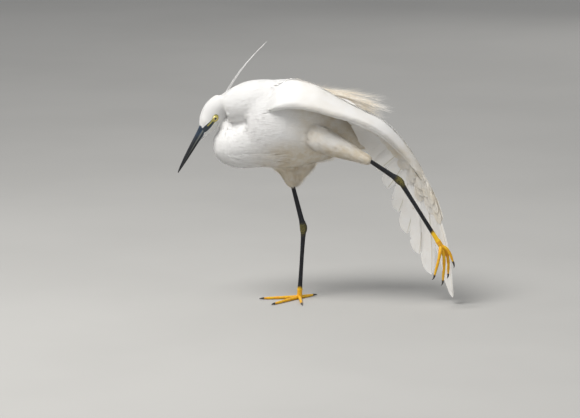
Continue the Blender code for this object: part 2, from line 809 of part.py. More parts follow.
def arm_flesh():
    rings = []
    steps = 15
    for i in range(steps + 1):
        u = i / steps
        nose, ridge, along, upper = arm_frame(u)
        middle = (nose + ridge) / 2
        half = (ridge - nose) / 2
        thick = value_at(WING_THICKNESS, u) * MM
        points = []
        for k in range(10):
            angle = 2 * math.pi * k / 10
            rise = 0.7 * thick if math.sin(angle) > 0 else thick
            points.append(middle + half * math.cos(angle) + upper * (rise * math.sin(angle)))
        rings.append(points)
    return loft("wing_left_arm", rings)


def flight_tip(number):
    spread = OUTER_TIPS + FAN_TIPS
    if number < len(spread):
        return spread[number]
    closed = FLIGHT_FEATHERS - 1 - len(spread)
    return curve_point(CLOSED_TIPS, (number - len(spread)) / closed)


def flight_place(number):
    """Where along the arm a flight feather is rooted. Number 0 is the outermost primary."""
    if number < PRIMARIES:
        return HAND_END + (WRIST + 0.01 - HAND_END) * number / (PRIMARIES - 1)
    return WRIST - 0.01 + (ELBOW - WRIST) * (number - PRIMARIES) / (SECONDARIES - 1)


def flight_root(number, sink=0.25):
    nose, ridge, along, upper = arm_frame(flight_place(number))
    return ridge.lerp(nose, sink)


def wing_plane(number):
    """Direction towards the trailing edge and the direction out of the lower face at a feather."""
    tip, root = flight_tip(number), flight_root(number)
    low, high = max(number - 2, 0), min(number + 2, FLIGHT_FEATHERS - 1)
    trailing = (flight_tip(high) - flight_tip(low) + flight_root(high) - flight_root(low)).normalized()
    along = (tip - root).normalized()
    trailing = (trailing - along * trailing.dot(along)).normalized()
    lower = along.cross(trailing).normalized()
    if lower.y > 0:
        lower.negate()
    return trailing, lower


def flight_shaft(number, share=1.0, lift=0.0, sink=0.25):
    """A curve along a flight feather, or along a covert lying on it."""
    root, tip = flight_root(number, sink), flight_tip(number)
    trailing, lower = wing_plane(number)
    bow = lower * (-5 * MM)
    if number < PRIMARIES:
        bow = bow - trailing * ((12 - number) * 0.9 * MM)
    whole = bent(root, tip, bow)
    return lambda t: whole(t * share) + lower * (lift * (0.3 + 0.7 * min(1.0, 2.5 * t)))


def left_wing_feathers():
    """Flight feathers, each lying over the next one inwards when seen from below, and their coverts."""
    pieces = []
    for number in range(FLIGHT_FEATHERS):
        trailing, lower = wing_plane(number)
        across = steady(trailing + lower * 0.2)
        width_in = (14 if number < len(OUTER_TIPS) else 18) * MM
        width_out = (3 if number < len(OUTER_TIPS) else 6) * MM
        outline = FLIGHT if number < PRIMARIES else SHORT_FLIGHT
        pieces.append(vane(flight_shaft(number), across, outline, width_in, width_out, VANE_THICK))
    for number in range(1, FLIGHT_FEATHERS - 1, 3):
        trailing, lower = wing_plane(number)
        outer = 5 if number < 3 else 9
        for face in (1, -1):
            share = 0.36 if number < PRIMARIES else 0.44
            shaft = flight_shaft(number, share, face * 5.6 * MM, 0.35)
            across = steady(trailing + lower * (0.1 if face > 0 else 0.2))
            pieces.append(vane(shaft, across, COVERT, 14 * MM, outer * MM, COVERT_THICK))
    return pieces


def scapulars():
    """Shoulder feathers, rooted along the wing's ridge, that close the gap between wing and back."""
    pieces = []
    for number in range(SCAPULARS):
        share = number / (SCAPULARS - 1)
        nose, ridge = arm_frame(SCAPULAR_START + SCAPULAR_REACH * share)[:2]
        tip = mm(62 + 50 * share, -2 - 16 * share, 304 - 34 * share)
        shaft = bent(ridge.lerp(nose, 0.1), tip, mm(0, 2, 5))
        pieces.append(vane(shaft, steady(Vector((0, 1, 0.25))), COVERT, 8 * MM, 9 * MM, COVERT_THICK))
    return pieces


def part_wing(wing):
    """Parts the wing between its first secondary and its last primary. Returns arm and hand."""
    root = (flight_root(PRIMARIES - 1) + flight_root(PRIMARIES)) / 2
    tip = (flight_tip(PRIMARIES - 1) + flight_tip(PRIMARIES)) / 2
    along = tip - root
    trailing, lower = wing_plane(PRIMARIES)
    half_length = along.length / 2 + WING_CUT_MARGIN
    cut = slab("wing_cut", (root + tip) / 2, along.cross(lower).normalized(), along, half_length,
               WING_CUT_MARGIN, GAP)
    boolean(wing, [cut], "DIFFERENCE")
    hand = copied(wing, "wing_left_hand")
    halves = [members for volume, members in surfaces(wing.data)[:2]]
    halves.sort(key=lambda members: wing.data.polygons[members[0]].center.x)
    keep_faces(wing, halves[0])
    keep_faces(hand, halves[1])
    return wing, hand


# Right wing, folded against the far side of the body

def row_at(rows, x):
    """The other numbers of a table's row at x, between its rows."""
    x = min(max(x, rows[0][0]), rows[-1][0])
    for first, second in zip(rows, rows[1:]):
        if x <= second[0]:
            f = (x - first[0]) / (second[0] - first[0])
            return tuple(a + (b - a) * f for a, b in zip(first[1:], second[1:]))
    return rows[-1][1:]


def beside_torso(x, z, out):
    """A point a given distance outside the torso's right side, all in mm."""
    y_mid, z_mid, half_height, half_width = row_at(TORSO_SECTIONS, x)
    height = min(max((z - z_mid) / half_height, -0.92), 0.92)
    angle = math.asin(height)
    normal = Vector((0, math.cos(angle) / half_width, math.sin(angle) / half_height)).normalized()
    surface = Vector((x, y_mid + half_width * math.cos(angle), z))
    return (surface + normal * out) * MM


# x, middle height, half height and half thickness of the folded wing's flesh
FOLDED_WING = (
    (-58, 276, 6, 2.5),
    (-48, 277, 20, 5.5),
    (-22, 280, 32, 7),
    (12, 273, 33, 7),
    (46, 260, 27, 6.5),
    (76, 248, 18, 5.5),
    (98, 242, 8, 3),
)


def folded_flesh():
    rings = []
    steps, sides = 10, 12
    for i in range(steps + 1):
        x, middle, half_height, thick = curve_row(FOLDED_WING, i / steps)
        points = []
        for k in range(sides):
            angle = 2 * math.pi * k / sides
            points.append(beside_torso(x, middle + half_height * math.sin(angle),
                                       1.0 + thick * (1 + math.cos(angle))))
        rings.append(points)
    return loft("wing_right", rings)


def folded_out(x, z):
    """How far the folded wing's flesh stands out of the torso, in mm."""
    middle, half_height, thick = row_at(FOLDED_WING, x)
    height = min(1.0, abs(z - middle) / half_height)
    return 1.0 + thick * (1 + math.sqrt(1 - height * height))


def laid(x0, x1, z0, z1):
    """The shaft of a covert on the folded wing and its sideways direction at t.

    The root is sunk in the flesh, the tip a little lifted, and the upper edge lies under the next one.
    """
    def point(t, higher=0.0):
        x, z = x0 + (x1 - x0) * t, z0 + (z1 - z0) * t + higher
        seat = COVERT_SINK * max(0, 1 - 5 * t)
        return beside_torso(x, z, folded_out(x, z) + COVERT_LIFT * (0.4 + t) - seat)

    def across(t):
        return (point(t, 4) - point(t, -4)).normalized() - Vector((0, 0.16, 0))
    return point, across


# Rows of coverts on the folded wing: x of the roots, length and number of feathers
FOLDED_COVERTS = ((-46, 34, 4), (-22, 38, 5), (6, 42, 5), (34, 44, 3))
FOLDED_REACH = 0.72         # share of the wing's half height that the rows cover


def right_wing_feathers():
    """Rows of coverts, the inner flight feathers and, below them, the tips of the primaries."""
    pieces = []
    for x, length, count in FOLDED_COVERTS:
        middle, half_height, thick = row_at(FOLDED_WING, x)
        for number in range(count):
            z = middle + half_height * FOLDED_REACH * (1 - 2 * number / (count - 1))
            shaft, across = laid(x + 2 * number, x + 2 * number + length, z, z - 8)
            pieces.append(vane(shaft, across, COVERT, 8 * MM, 8 * MM, COVERT_THICK))
    for number in range(6):
        x, z = 40 + 3 * number, 280 - 7 * number
        tip = mm(100 + 7 * number, 29 + 2.6 * number, 256 - 7.5 * number)
        across = Vector((0, -0.9 + 0.13 * number, 1))
        shaft = bent(beside_torso(x, z, folded_out(x, z) - 2), tip, mm(0, 7, 3))
        pieces.append(vane(shaft, steady(across), SHORT_FLIGHT, 9 * MM, 8 * MM, VANE_THICK))
    for number in range(4):
        x, z = 66, 244 - 3 * number
        tip = mm(147 + 5 * number, 42 - 1.2 * number, 217 - 4 * number)
        shaft = bent(beside_torso(x, z, folded_out(x, z) - 3), tip, mm(0, 6, 2))
        pieces.append(vane(shaft, steady(Vector((0, 0.15, 1))), SHORT_FLIGHT, 6 * MM, 6 * MM, VANE_THICK))
    return pieces


# Tail

def build_tail():
    """Twelve feathers in pairs, the middle pair uppermost, with a row of coverts over their roots."""
    along = (TAIL_TIP - TAIL_ROOT).normalized()
    side = Vector((0, 1, 0))
    over = side.cross(along).normalized()
    if over.z < 0:
        over.negate()
    stub = limb("tail", [TAIL_ROOT, TAIL_ROOT + along * (14 * MM), TAIL_ROOT + along * (26 * MM)],
                [10 * MM, 8 * MM, 3.5 * MM], 10, steps=4, flat=1.3)
    pieces = []
    for pair in range(TAIL_FEATHERS // 2):
        for hand in (-1, 1):
            place = hand * (0.5 + pair) / 5.5
            drop = over * ((2.6 - 1.15 * pair) * MM)
            root = TAIL_ROOT + along * (4 * MM) + side * (5 * place * MM) + drop * 0.6
            tip = TAIL_TIP + side * (15 * place * MM) - along * (6 * place ** 2 * MM) + drop
            shaft = bent(root, tip, over * (4 * MM))
            outer, inner = 4.5 * MM, 3.5 * MM
            widths = (outer, inner) if hand > 0 else (inner, outer)
            pieces.append(vane(shaft, steady(side - over * (0.03 * hand)), SHORT_FLIGHT, *widths, VANE_THICK))
    for number in range(3):
        place = number - 1
        root = TAIL_ROOT + over * (3 * MM) + side * (5 * place * MM)
        tip = TAIL_ROOT + along * (38 * MM) + side * (8 * place * MM) + over * (8 * MM)
        shaft = bent(root, tip, over * (3 * MM))
        pieces.append(vane(shaft, steady(side), COVERT, 6 * MM, 6 * MM, COVERT_THICK))
    return fuse(stub, pieces)


# Plumes of the breast, the back and the thighs

def breast_plumes():
    rng = random.Random(3)
    pieces = []
    for number in range(6):
        place = (number - 2.5) / 2.5
        root = mm(-97 + 5 * abs(place), 18 * place - 2, 214 + 8 * place * place)
        tip = root + mm(27 + rng.uniform(-3, 3), 3 * place, -15 + rng.uniform(-1, 1) + 3 * place * place)
        shaft = bent(root, tip, mm(0, 0, -5))
        pieces.append(vane(shaft, steady(Vector((0, 1, 0))), PLUME, 2.4 * MM, 2.4 * MM, PLUME_THICK))
    return pieces


def back_plumes():
    rng = random.Random(5)
    pieces = []
    for number in range(5):
        place = (number - 2) / 2
        root = mm(-6 + 8 * abs(place), 10 * place + 11, 321 - 6 * place * place)
        tip = mm(120 + rng.uniform(-12, 12), 12 * place + 8, 299 + rng.uniform(-14, 9))
        shaft = bent(root, tip, mm(6, 0, 20 + rng.uniform(-3, 3)))
        pieces.append(vane(shaft, steady(Vector((0, 1, 0.1))), PLUME, 1.8 * MM, 1.8 * MM, PLUME_THICK))
    return pieces


def thigh_plumes():
    rng = random.Random(8)
    pieces = []
    for number in range(6):
        height = 195 - 4 * number
        root = mm(4 - 2 * number, 20 + rng.uniform(-5, 5), height)
        tip = root + mm(24 - 3 * number, rng.uniform(-2, 2), -8 - number)
        shaft = bent(root, tip, mm(3, 0, 2))
        pieces.append(vane(shaft, steady(Vector((0, 1, 0))), PLUME, 2.6 * MM, 2.6 * MM, PLUME_THICK))
    return pieces


def main():
    for obj in list(bpy.data.objects):
        bpy.data.objects.remove(obj)
    collection = bpy.data.collections.new(BODY_COLLECTION)
    bpy.context.scene.collection.children.link(collection)

    flesh = part_flesh(whole_flesh())
    torso = flesh["torso"]
    bill_upper, bill_lower = build_bill()
    crest = build_crest()
    head = build_head(flesh["head"], (bill_upper, bill_lower), crest)
    eyes = build_eyes()

    wing_left = fuse(arm_flesh(), left_wing_feathers() + scapulars())
    wing_right = fuse(folded_flesh(), right_wing_feathers())
    tail = build_tail()
    for node in (wing_left, wing_right, tail):
        cut_clear(node, torso)
    cut_clear(wing_left, flesh["thigh_left"])
    arm_left, hand_left = part_wing(wing_left)
    shank_right = shank("shank_right", flesh["thigh_right"], RIGHT_FEATHER_END, RIGHT_ANKLE)
    shank_left = shank("shank_left", flesh["thigh_left"], LEFT_FEATHER_END, LEFT_ANKLE)
    tarsus_right = tarsus("tarsus_right", RIGHT_ANKLE, RIGHT_FEATHER_END, RIGHT_FOOT)
    tarsus_left = tarsus("tarsus_left", LEFT_ANKLE, LEFT_FEATHER_END, LEFT_FOOT)
    foot_right, claws_right = standing_foot("right")
    foot_left, claws_left = hanging_foot("left")

    fuse(torso, back_plumes())
    fuse(flesh["neck_lower"], breast_plumes())
    fuse(flesh["thigh_right"], thigh_plumes())

    root = bpy.data.objects.new("little_egret", None)
    collection.objects.link(root)
    nape = mm(-112, 0, 288)
    middle = mm(0, 4, 266)
    for obj, place in ((head, nape), (crest, CREST_ROOT), (flesh["neck_upper"], UPPER_NECK[1]),
                       (flesh["neck_lower"], LOWER_NECK[1]), (torso, middle),
                       (flesh["thigh_right"], RIGHT_FEATHER_END), (flesh["thigh_left"], LEFT_FEATHER_END),
                       (arm_left, WING_NOSE[0]), (hand_left, flight_root(PRIMARIES)),
                       (wing_right, mm(-42, 42, 295)), (tail, TAIL_ROOT)):
        finish_node(tidy(obj), PLUMAGE, place, root)
    for obj in (bill_upper, bill_lower):
        finish_node(tidy(obj), BILL_HORN, BILL_BASE, root)
    for obj, left in zip(eyes, (1, -1)):
        finish_node(obj, EYE_YELLOW, on_head(EYE_BEHIND, EYE_UP, left * EYE_SIDE), root, 80)
    for obj, place in ((shank_right, RIGHT_FEATHER_END), (shank_left, LEFT_FEATHER_END),
                       (tarsus_right, RIGHT_ANKLE), (tarsus_left, LEFT_ANKLE)):
        finish_node(tidy(obj), LEG_BLACK, place, root, 60)
    for obj, place, claws in ((foot_right, RIGHT_FOOT, claws_right), (foot_left, LEFT_FOOT, claws_left)):
        finish_node(obj, FOOT_YELLOW, place, root, 60)
        for tip in claws:
            finish_node(tip, CLAW_HORN, place, root, 60)


main()
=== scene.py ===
"""The looks of a little egret, life size, stretching its left wing and its left leg.

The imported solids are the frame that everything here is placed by. One skin stands for their flesh, and
the feathers are thin meshes that lie on it: tufts of narrow blades for the small body feathers, and
vanes with a shaft for the coverts, the flight feathers and the tail. The bird faces -X, its left side is
towards -Y, and the sole of its standing foot is at the origin.
"""

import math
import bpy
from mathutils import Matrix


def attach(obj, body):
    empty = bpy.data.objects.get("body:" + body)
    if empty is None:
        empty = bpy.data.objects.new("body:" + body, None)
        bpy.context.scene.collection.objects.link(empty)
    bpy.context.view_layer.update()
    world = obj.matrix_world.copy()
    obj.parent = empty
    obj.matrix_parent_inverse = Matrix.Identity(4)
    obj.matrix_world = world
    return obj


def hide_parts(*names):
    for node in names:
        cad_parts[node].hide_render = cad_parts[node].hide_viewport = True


bl_info = {
    "name": "Little egret",
    "version": (1, 0, 0),
    "blender": (4, 5, 0),
    "location": "3D View > Sidebar > Egret",
    "description": "Skin, plumage, bill, eyes, legs and stage of a little egret",
    "category": "Add Mesh",
}

import bpy
import numpy as np
from bpy.props import FloatProperty, FloatVectorProperty, IntProperty, PointerProperty
from mathutils.bvhtree import BVHTree
from mathutils.kdtree import KDTree

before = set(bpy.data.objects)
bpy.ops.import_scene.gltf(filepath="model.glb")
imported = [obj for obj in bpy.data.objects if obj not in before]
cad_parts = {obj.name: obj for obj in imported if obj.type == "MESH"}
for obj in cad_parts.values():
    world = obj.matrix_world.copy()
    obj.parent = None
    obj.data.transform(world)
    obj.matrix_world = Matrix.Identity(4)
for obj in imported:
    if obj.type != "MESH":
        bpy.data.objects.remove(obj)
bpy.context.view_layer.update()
BODY = "root"
MM = 0.001
BAKE_MAP = "OFBake"
VANE_MAP = "Vane"
TUFT_PATCH = 0.003          # side of a tuft's patch on the bake map


def mm(*values):
    """A point or a vector given in millimetres."""
    return np.array(values, float) * MM


# Settings

def length_setting(name, description, default):
    return FloatProperty(name=name, description=description, default=default, min=0, unit="LENGTH", precision=4)


def colour_setting(name, description, default):
    return FloatVectorProperty(name=name, description=description, default=default, size=3, min=0, max=1,
                               subtype="COLOR")


class PlumageSettings(bpy.types.PropertyGroup):
    white: colour_setting("White", "Colour of the feathers' tips", (0.965, 0.96, 0.95))
    # root: the darker colour painted towards the feathers' roots as shade; the streaks, each feather's random
    # tone, the skin's grain and the mottle also draw on it.
    root: colour_setting("Root", "Colour of the feathers towards their roots", (0.95, 0.94, 0.915))
    # Painted warm shade: a warm tint painted under the body, on the thighs and in the wing's lining, where they
    # lie in shade.
    painted_warm_shade: colour_setting("Cream", "Warm tint of the belly, the thighs and the wing's lining",
                          (0.76, 0.66, 0.49))
    head_coat: length_setting("Head coat", "Depth of the coat on the head", 1.0 * MM)
    neck_coat: length_setting("Neck coat", "Depth of the coat on the neck", 2.6 * MM)
    body_coat: length_setting("Body coat", "Depth of the coat on the body", 3.6 * MM)
    wing_coat: length_setting("Wing coat", "Depth of the coat on the arms of the wings", 1.1 * MM)
    head_spacing: length_setting("Head spacing", "Distance between tufts on the head", 1.05 * MM)
    neck_spacing: length_setting("Neck spacing", "Distance between tufts on the neck", 1.9 * MM)
    body_spacing: length_setting("Body spacing", "Distance between tufts on the body", 2.45 * MM)
    thigh_spacing: length_setting("Thigh spacing", "Distance between tufts on the thighs", 2.0 * MM)
    seed: IntProperty(name="Seed", description="Start of the random draws", default=11)


class FaceSettings(bpy.types.PropertyGroup):
    horn: colour_setting("Horn", "Black of the bill", (0.006, 0.007, 0.010))
    # Painted sheen: the blue grey that is painted towards the bill's base as a reflection.
    painted_sheen: colour_setting("Sheen", "Blue grey of the bill's base and ridge", (0.030, 0.062, 0.110))
    lore: colour_setting("Lore", "Bare skin between bill and eye", (0.030, 0.045, 0.060))
    orbit: colour_setting("Orbit", "Yellow skin round the eye", (0.50, 0.44, 0.10))
    iris: colour_setting("Iris", "Yellow of the iris", (0.66, 0.55, 0.13))
    pupil: length_setting("Pupil", "Radius of the pupil", 1.7 * MM)
    eye: length_setting("Eye", "Radius of the eyeball", 5.0 * MM)


class LegSettings(bpy.types.PropertyGroup):
    skin: colour_setting("Leg", "Black skin of the legs", (0.007, 0.007, 0.009))
    joint: colour_setting("Joint", "Olive yellow scales of the ankle", (0.20, 0.17, 0.035))
    foot: colour_setting("Foot", "Yellow of the feet", (0.78, 0.47, 0.015))
    toe_end: colour_setting("Toe end", "Orange of the toes' ends", (0.72, 0.31, 0.015))
    claw: colour_setting("Claw", "Horn of the claws", (0.030, 0.024, 0.020))


class StageSettings(bpy.types.PropertyGroup):
    floor: colour_setting("Floor", "Colour of the floor", (0.42, 0.415, 0.40))
    key: FloatProperty(name="Key light", description="Power of the light overhead", default=70, min=0,
                       unit="POWER")
    fill: FloatProperty(name="Fill light", description="Power of the light from the viewer's side", default=8,
                        min=0, unit="POWER")
    sky: FloatProperty(name="Sky", description="Strength of the even light", default=0.48, min=0)
    distance: length_setting("Camera distance", "From the camera to the bird", 6.0)


def settings(part):
    return getattr(bpy.context.scene, "egret_" + part)


# Numbers on curves and directions

def curve(points, t):
    """Points at t from 0 to 1 on a smooth curve through the given ones."""
    points = np.asarray(points, float)
    t = np.asarray(t, float)
    if points.ndim == 1:
        return curve(points[:, None], t)[..., 0]
    count = len(points) - 1
    place = np.clip(t, 0, 1) * count
    i = np.minimum(place.astype(int), count - 1)
    f = (place - i)[..., None]
    padded = np.vstack([2 * points[0] - points[1], points, 2 * points[-1] - points[-2]])
    p0, p1, p2, p3 = padded[i], padded[i + 1], padded[i + 2], padded[i + 3]
    return (2 * p1 + (p2 - p0) * f + (2 * p0 - 5 * p1 + 4 * p2 - p3) * f ** 2
            + (3 * p1 - p0 - 3 * p2 + p3) * f ** 3) / 2


def unit(vectors):
    size = np.linalg.norm(vectors, axis=-1, keepdims=True)
    return vectors / np.maximum(size, 1e-12)


def dot(a, b):
    return (a * b).sum(axis=-1, keepdims=True)


def flat_on(vectors, normals):
    """Vectors laid flat on surfaces with the given normals."""
    return unit(vectors - normals * dot(vectors, normals))


def turned(vectors, axes, angles):
    """Vectors turned about unit axes."""
    angles = np.asarray(angles, float)[..., None]
    return (vectors * np.cos(angles) + np.cross(axes, vectors) * np.sin(angles)
            + axes * dot(axes, vectors) * (1 - np.cos(angles)))


def direction(x, y, z):
    return unit(np.array((x, y, z), float))


def even(count):
    """Numbers from 0 to 1 in even steps."""
    return np.linspace(0, 1, count)


def full_turn(count):
    """Angles right round, in even steps."""
    return np.linspace(0, 2 * math.pi, count, endpoint=False)


def bowed(root, tip, bow, t):
    """Lines from root to tip whose middle is drawn aside by bow. t holds the places along them."""
    s = np.asarray(t)[..., None]
    start, middle, end = (p[..., None, :] for p in (root, (root + tip) / 2 + bow, tip))
    return start * (1 - s) ** 2 + middle * 2 * s * (1 - s) + end * s ** 2


def smooth_step(low, high, values):
    t = np.clip((values - low) / (high - low), 0, 1)
    return t * t * (3 - 2 * t)


def row_at(rows, x):
    """The other numbers of a table at each x, between its rows."""
    table = np.array(rows, float)
    return [np.interp(x, table[:, 0], table[:, k]) for k in range(1, table.shape[1])]


# Landmarks, the same as those of the solids

BILL_BASE = mm(-144.5, -12, 261)
BILL_PITCH, BILL_YAW, HEAD_ROLL = math.radians(58.5), math.radians(15), math.radians(14)
RIGHT_HIP, RIGHT_KNEE = mm(4, 30, 262), mm(-25, 27, 228)
RIGHT_FEATHER_END, RIGHT_ANKLE, RIGHT_FOOT = mm(-10.5, 17, 168), mm(5.5, 7, 107), mm(-0.5, 0, 9)
LEFT_HIP, LEFT_KNEE = mm(34, -26, 262), mm(30, -33, 249)
LEFT_FEATHER_END, LEFT_ANKLE, LEFT_FOOT = mm(105, -60, 219), mm(147.5, -66, 191.5), mm(207.5, -76, 97)
TAIL_ROOT, TAIL_TIP = mm(104, 15, 243), mm(158, 24, 196)
SIDEWAYS, UPWARDS = np.array((0.0, 1.0, 0.0)), np.array((0.0, 0.0, 1.0))


def head_frame():
    """Bill direction, crown direction and the left side of the head."""
    bill = np.array((-math.cos(BILL_PITCH) * math.cos(BILL_YAW), -math.sin(BILL_YAW),
                     -math.sin(BILL_PITCH) * math.cos(BILL_YAW)))
    crown = turned(unit(np.cross(bill, -SIDEWAYS)), bill, -HEAD_ROLL)
    return bill, crown, unit(np.cross(crown, bill))


BILL, CROWN, HEAD_LEFT = head_frame()


def on_head(behind, up, left):
    """Points of the head from the base of the bill, in millimetres."""
    parts = np.stack(np.broadcast_arrays(behind, up, left), axis=-1) * MM
    return BILL_BASE + parts @ np.array((-BILL, CROWN, HEAD_LEFT))


def head_place(points):
    """Behind, up and left of the bill's base, in millimetres."""
    return (points - BILL_BASE) @ np.array((-BILL, CROWN, HEAD_LEFT)).T / MM


# Behind the bill's base, middle, half height and half width, in mm
HEAD_SECTIONS = ((-8, -2.5, 3.5, 3.5), (0, -1.5, 8.0, 7.2), (9, -1.0, 13.2, 11.2), (20, -1.0, 16.6, 13.4),
                 (32, -2.0, 18.4, 15.0), (45, -6.6, 20.0, 17.0), (55, -11.6, 20.0, 18.0))
EYE_BEHIND, EYE_UP, EYE_SIDE = 21.5, -4.0, 9.9
# X, the middle's Y and Z, half height and half width, in mm
TORSO_SECTIONS = (
    (-80, -4, 266, 40, 28), (-68, -3, 267, 56, 38), (-44, -1, 267, 65, 45), (-14, 2, 267, 67, 47),
    (14, 5, 266, 62, 45), (42, 9, 262, 51, 40), (68, 12, 256, 37, 32), (90, 14, 249, 24, 25),
    (108, 16, 241, 14, 19), (118, 17, 236, 8, 14),
)
UPPER_NECK = (mm(-112, -2, 288), mm(-96, -2, 293), mm(-74, -2, 297), mm(-46, -1, 296), mm(-16, 2, 290))
UPPER_NECK_RADII = (23, 28.5, 35, 38, 38)
LOWER_NECK = (mm(-106, -2, 240), mm(-98, -2, 235), mm(-74, -2, 240), mm(-46, -1, 250), mm(-16, 2, 256))
LOWER_NECK_RADII = (25, 33.2, 39, 48, 46)
NECK_FLATNESS = 0.86
WING_NOSE = (
    mm(-54, -37, 291), mm(-15, -60, 301), mm(19, -66, 297), mm(45, -68, 290), mm(75, -68, 282),
    mm(105, -66, 269), mm(127, -62, 254), mm(145, -58, 236), mm(161, -54, 217), mm(176, -51, 199),
    mm(190, -48, 176),
)
WING_RIDGE = (
    mm(-50, -19, 319), mm(-13, -21, 335), mm(16, -28, 331), mm(38, -32, 320), mm(68, -34, 303),
    mm(98, -36, 288), mm(121, -38, 277), mm(146, -40, 254), mm(169, -42, 224), mm(186, -44, 191),
    mm(197, -46, 168),
)
WING_THICKNESS = (3, 11, 11, 9.5, 8, 7, 6.5, 6, 5, 4, 2.5)
# X, the middle's Z, half height and thickness, in mm
FOLDED_WING = ((-58, 276, 6, 2.5), (-48, 277, 20, 5.5), (-22, 280, 32, 7), (12, 273, 33, 7),
               (46, 260, 27, 6.5), (76, 248, 18, 5.5), (98, 242, 8, 3))
ELBOW, WRIST, HAND_END = 0.30, 0.70, 0.985      # places along the left arm
PRIMARIES, SECONDARIES, TAIL_FEATHERS = 10, 10, 12
OUTER_TIPS = (mm(227, -47, 21), mm(229.5, -45, 11), mm(224, -40, 20))
FAN_TIPS = (mm(197.5, -28, 42.7), mm(179, -25, 73), mm(163, -21, 103), mm(147, -18, 136),
            mm(131, -16, 171), mm(115, -15, 199))
CLOSED_TIPS = (mm(108, -17, 213), mm(103, -24, 238), mm(106, -32, 262))


# Meshes from arrays

SHARP_EDGE = math.radians(65)  # rims of the feathers are sharper than this, so their faces keep their own light


def write_array(rows, field, values):
    rows.foreach_set(field, np.ascontiguousarray(values, np.float32).ravel())


def read_array(rows, field, width, kind=np.float32):
    """One field of a mesh's points, edges, triangles or corners, `width` numbers to a row."""
    values = np.empty(len(rows) * width, kind)
    rows.foreach_get(field, values)
    return values.reshape(-1, width)


def mesh_object(name, points, polygons, maps=None, attributes=None):
    """A smooth mesh. polygons is a list of index arrays, one for each number of corners.

    maps holds places on each map by point, attributes holds numbers by point.
    """
    mesh = bpy.data.meshes.new(name)
    mesh.vertices.add(len(points))
    write_array(mesh.vertices, "co", points)
    polygons = [np.asarray(p, np.int32) for p in polygons if len(p)]
    if inside_out(points, polygons):
        polygons = [p[:, ::-1] for p in polygons]
    corners = np.concatenate([p.ravel() for p in polygons])
    counts = np.concatenate([np.full(len(p), p.shape[1], np.int32) for p in polygons])
    starts = np.concatenate([[0], np.cumsum(counts)[:-1]]).astype(np.int32)
    mesh.loops.add(len(corners))
    mesh.loops.foreach_set("vertex_index", corners)
    mesh.polygons.add(len(counts))
    mesh.polygons.foreach_set("loop_start", starts)
    mesh.polygons.foreach_set("use_smooth", np.ones(len(counts), bool))
    for label, places in (maps or {}).items():
        write_array(mesh.uv_layers.new(name=label).uv, "vector", places[corners])
    for label, values in (attributes or {}).items():
        write_array(mesh.attributes.new(label, "FLOAT", "POINT").data, "value", values)
    mesh.update(calc_edges=True)
    mesh.set_sharp_from_angle(angle=SHARP_EDGE)
    obj = bpy.data.objects.new(name, mesh)
    bpy.context.scene.collection.objects.link(obj)
    return obj


def inside_out(points, polygons):
    """True if the faces look into the bodies, from the sign of the volume they hold."""
    volume = 0.0
    for p in polygons:
        first = points[p[:, 0]]
        for k in range(1, p.shape[1] - 1):
            volume += (first * np.cross(points[p[:, k]], points[p[:, k + 1]])).sum()
    return volume < 0


def grid_faces(bodies, rows, columns, closed):
    """Quads over `bodies` grids of rows by columns, whose points follow one another."""
    across = columns if closed else columns - 1
    row, column = np.meshgrid(np.arange(rows - 1), np.arange(across), indexing="ij")
    beside = (column + 1) % columns
    quad = np.stack([row * columns + column, row * columns + beside, (row + 1) * columns + beside,
                     (row + 1) * columns + column], axis=-1).reshape(-1, 4)
    return (quad[None] + (np.arange(bodies) * rows * columns)[:, None, None]).reshape(-1, 4)


def loft_arrays(rings):
    """Points and faces of one closed body through rings (rows, sides, 3)."""
    rows, sides = rings.shape[:2]
    points = rings.reshape(-1, 3)
    order = np.arange(sides)
    ends = [order[::-1][None], (order + (rows - 1) * sides)[None]]
    return points, grid_faces(1, rows, sides, True), np.vstack(ends)


def joined(parts):
    """Points and polygon arrays of several (points, polygons...) bodies as one."""
    points, polygons, base = [], [], 0
    for body in parts:
        points.append(body[0])
        polygons += [np.asarray(p) + base for p in body[1:]]
        base += len(body[0])
    return np.vstack(points), polygons


def baked(obj):
    """Replaces an object's mesh with the one its modifiers make."""
    bpy.context.view_layer.update()
    graph = bpy.context.evaluated_depsgraph_get()
    mesh = bpy.data.meshes.new_from_object(obj.evaluated_get(graph))
    obj.modifiers.clear()
    old, obj.data = obj.data, mesh
    bpy.data.meshes.remove(old)
    return obj


def remeshed(obj, voxel, smoothing):
    """One smooth skin over bodies that overlap."""
    blend = obj.modifiers.new("blend", "REMESH")
    blend.mode = "VOXEL"
    blend.voxel_size = voxel
    blend.use_smooth_shade = True
    soften = obj.modifiers.new("soften", "SMOOTH")
    soften.factor = 0.5
    soften.iterations = smoothing
    return baked(obj)


def dress(obj, material, slot, *nodes):
    """Gives a finished piece its material and its body, and hides the solids it stands for. slot is not used.
    """
    obj.data.materials.clear()
    obj.data.materials.append(material)
    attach(obj, BODY)
    if nodes:
        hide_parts(*nodes)
    return obj


# Limb and body forms

def tube_rings(path, radii, steps, sides, side=SIDEWAYS, flat=1.0):
    """Rings along a smooth path. flat is the width across `side` over the depth. Radii are in mm."""
    t = even(steps + 1)
    centres = curve(path, t)
    along = unit(curve(path, np.minimum(t + 0.02, 1)) - curve(path, np.maximum(t - 0.02, 0)))
    up = unit(np.cross(along, np.broadcast_to(side, along.shape)))
    across = np.cross(up, along)
    radius = curve(radii, t)[:, None, None] * MM
    angle = full_turn(sides)[None, :, None]
    return centres[:, None] + (across[:, None] * np.cos(angle) * flat + up[:, None] * np.sin(angle)) * radius


def ball_rings(centre, radius, rows, sides, stretch=(1, 1, 1)):
    """Rings of a round body, its ends a little open so that they stay whole faces."""
    tilt = np.linspace(0.06, math.pi - 0.06, rows)[:, None]
    angle = full_turn(sides)[None]
    shape = np.stack([np.sin(tilt) * np.cos(angle), np.sin(tilt) * np.sin(angle),
                      np.cos(tilt) + 0 * angle], axis=-1)
    return np.asarray(centre) + shape * radius * np.asarray(stretch, float)


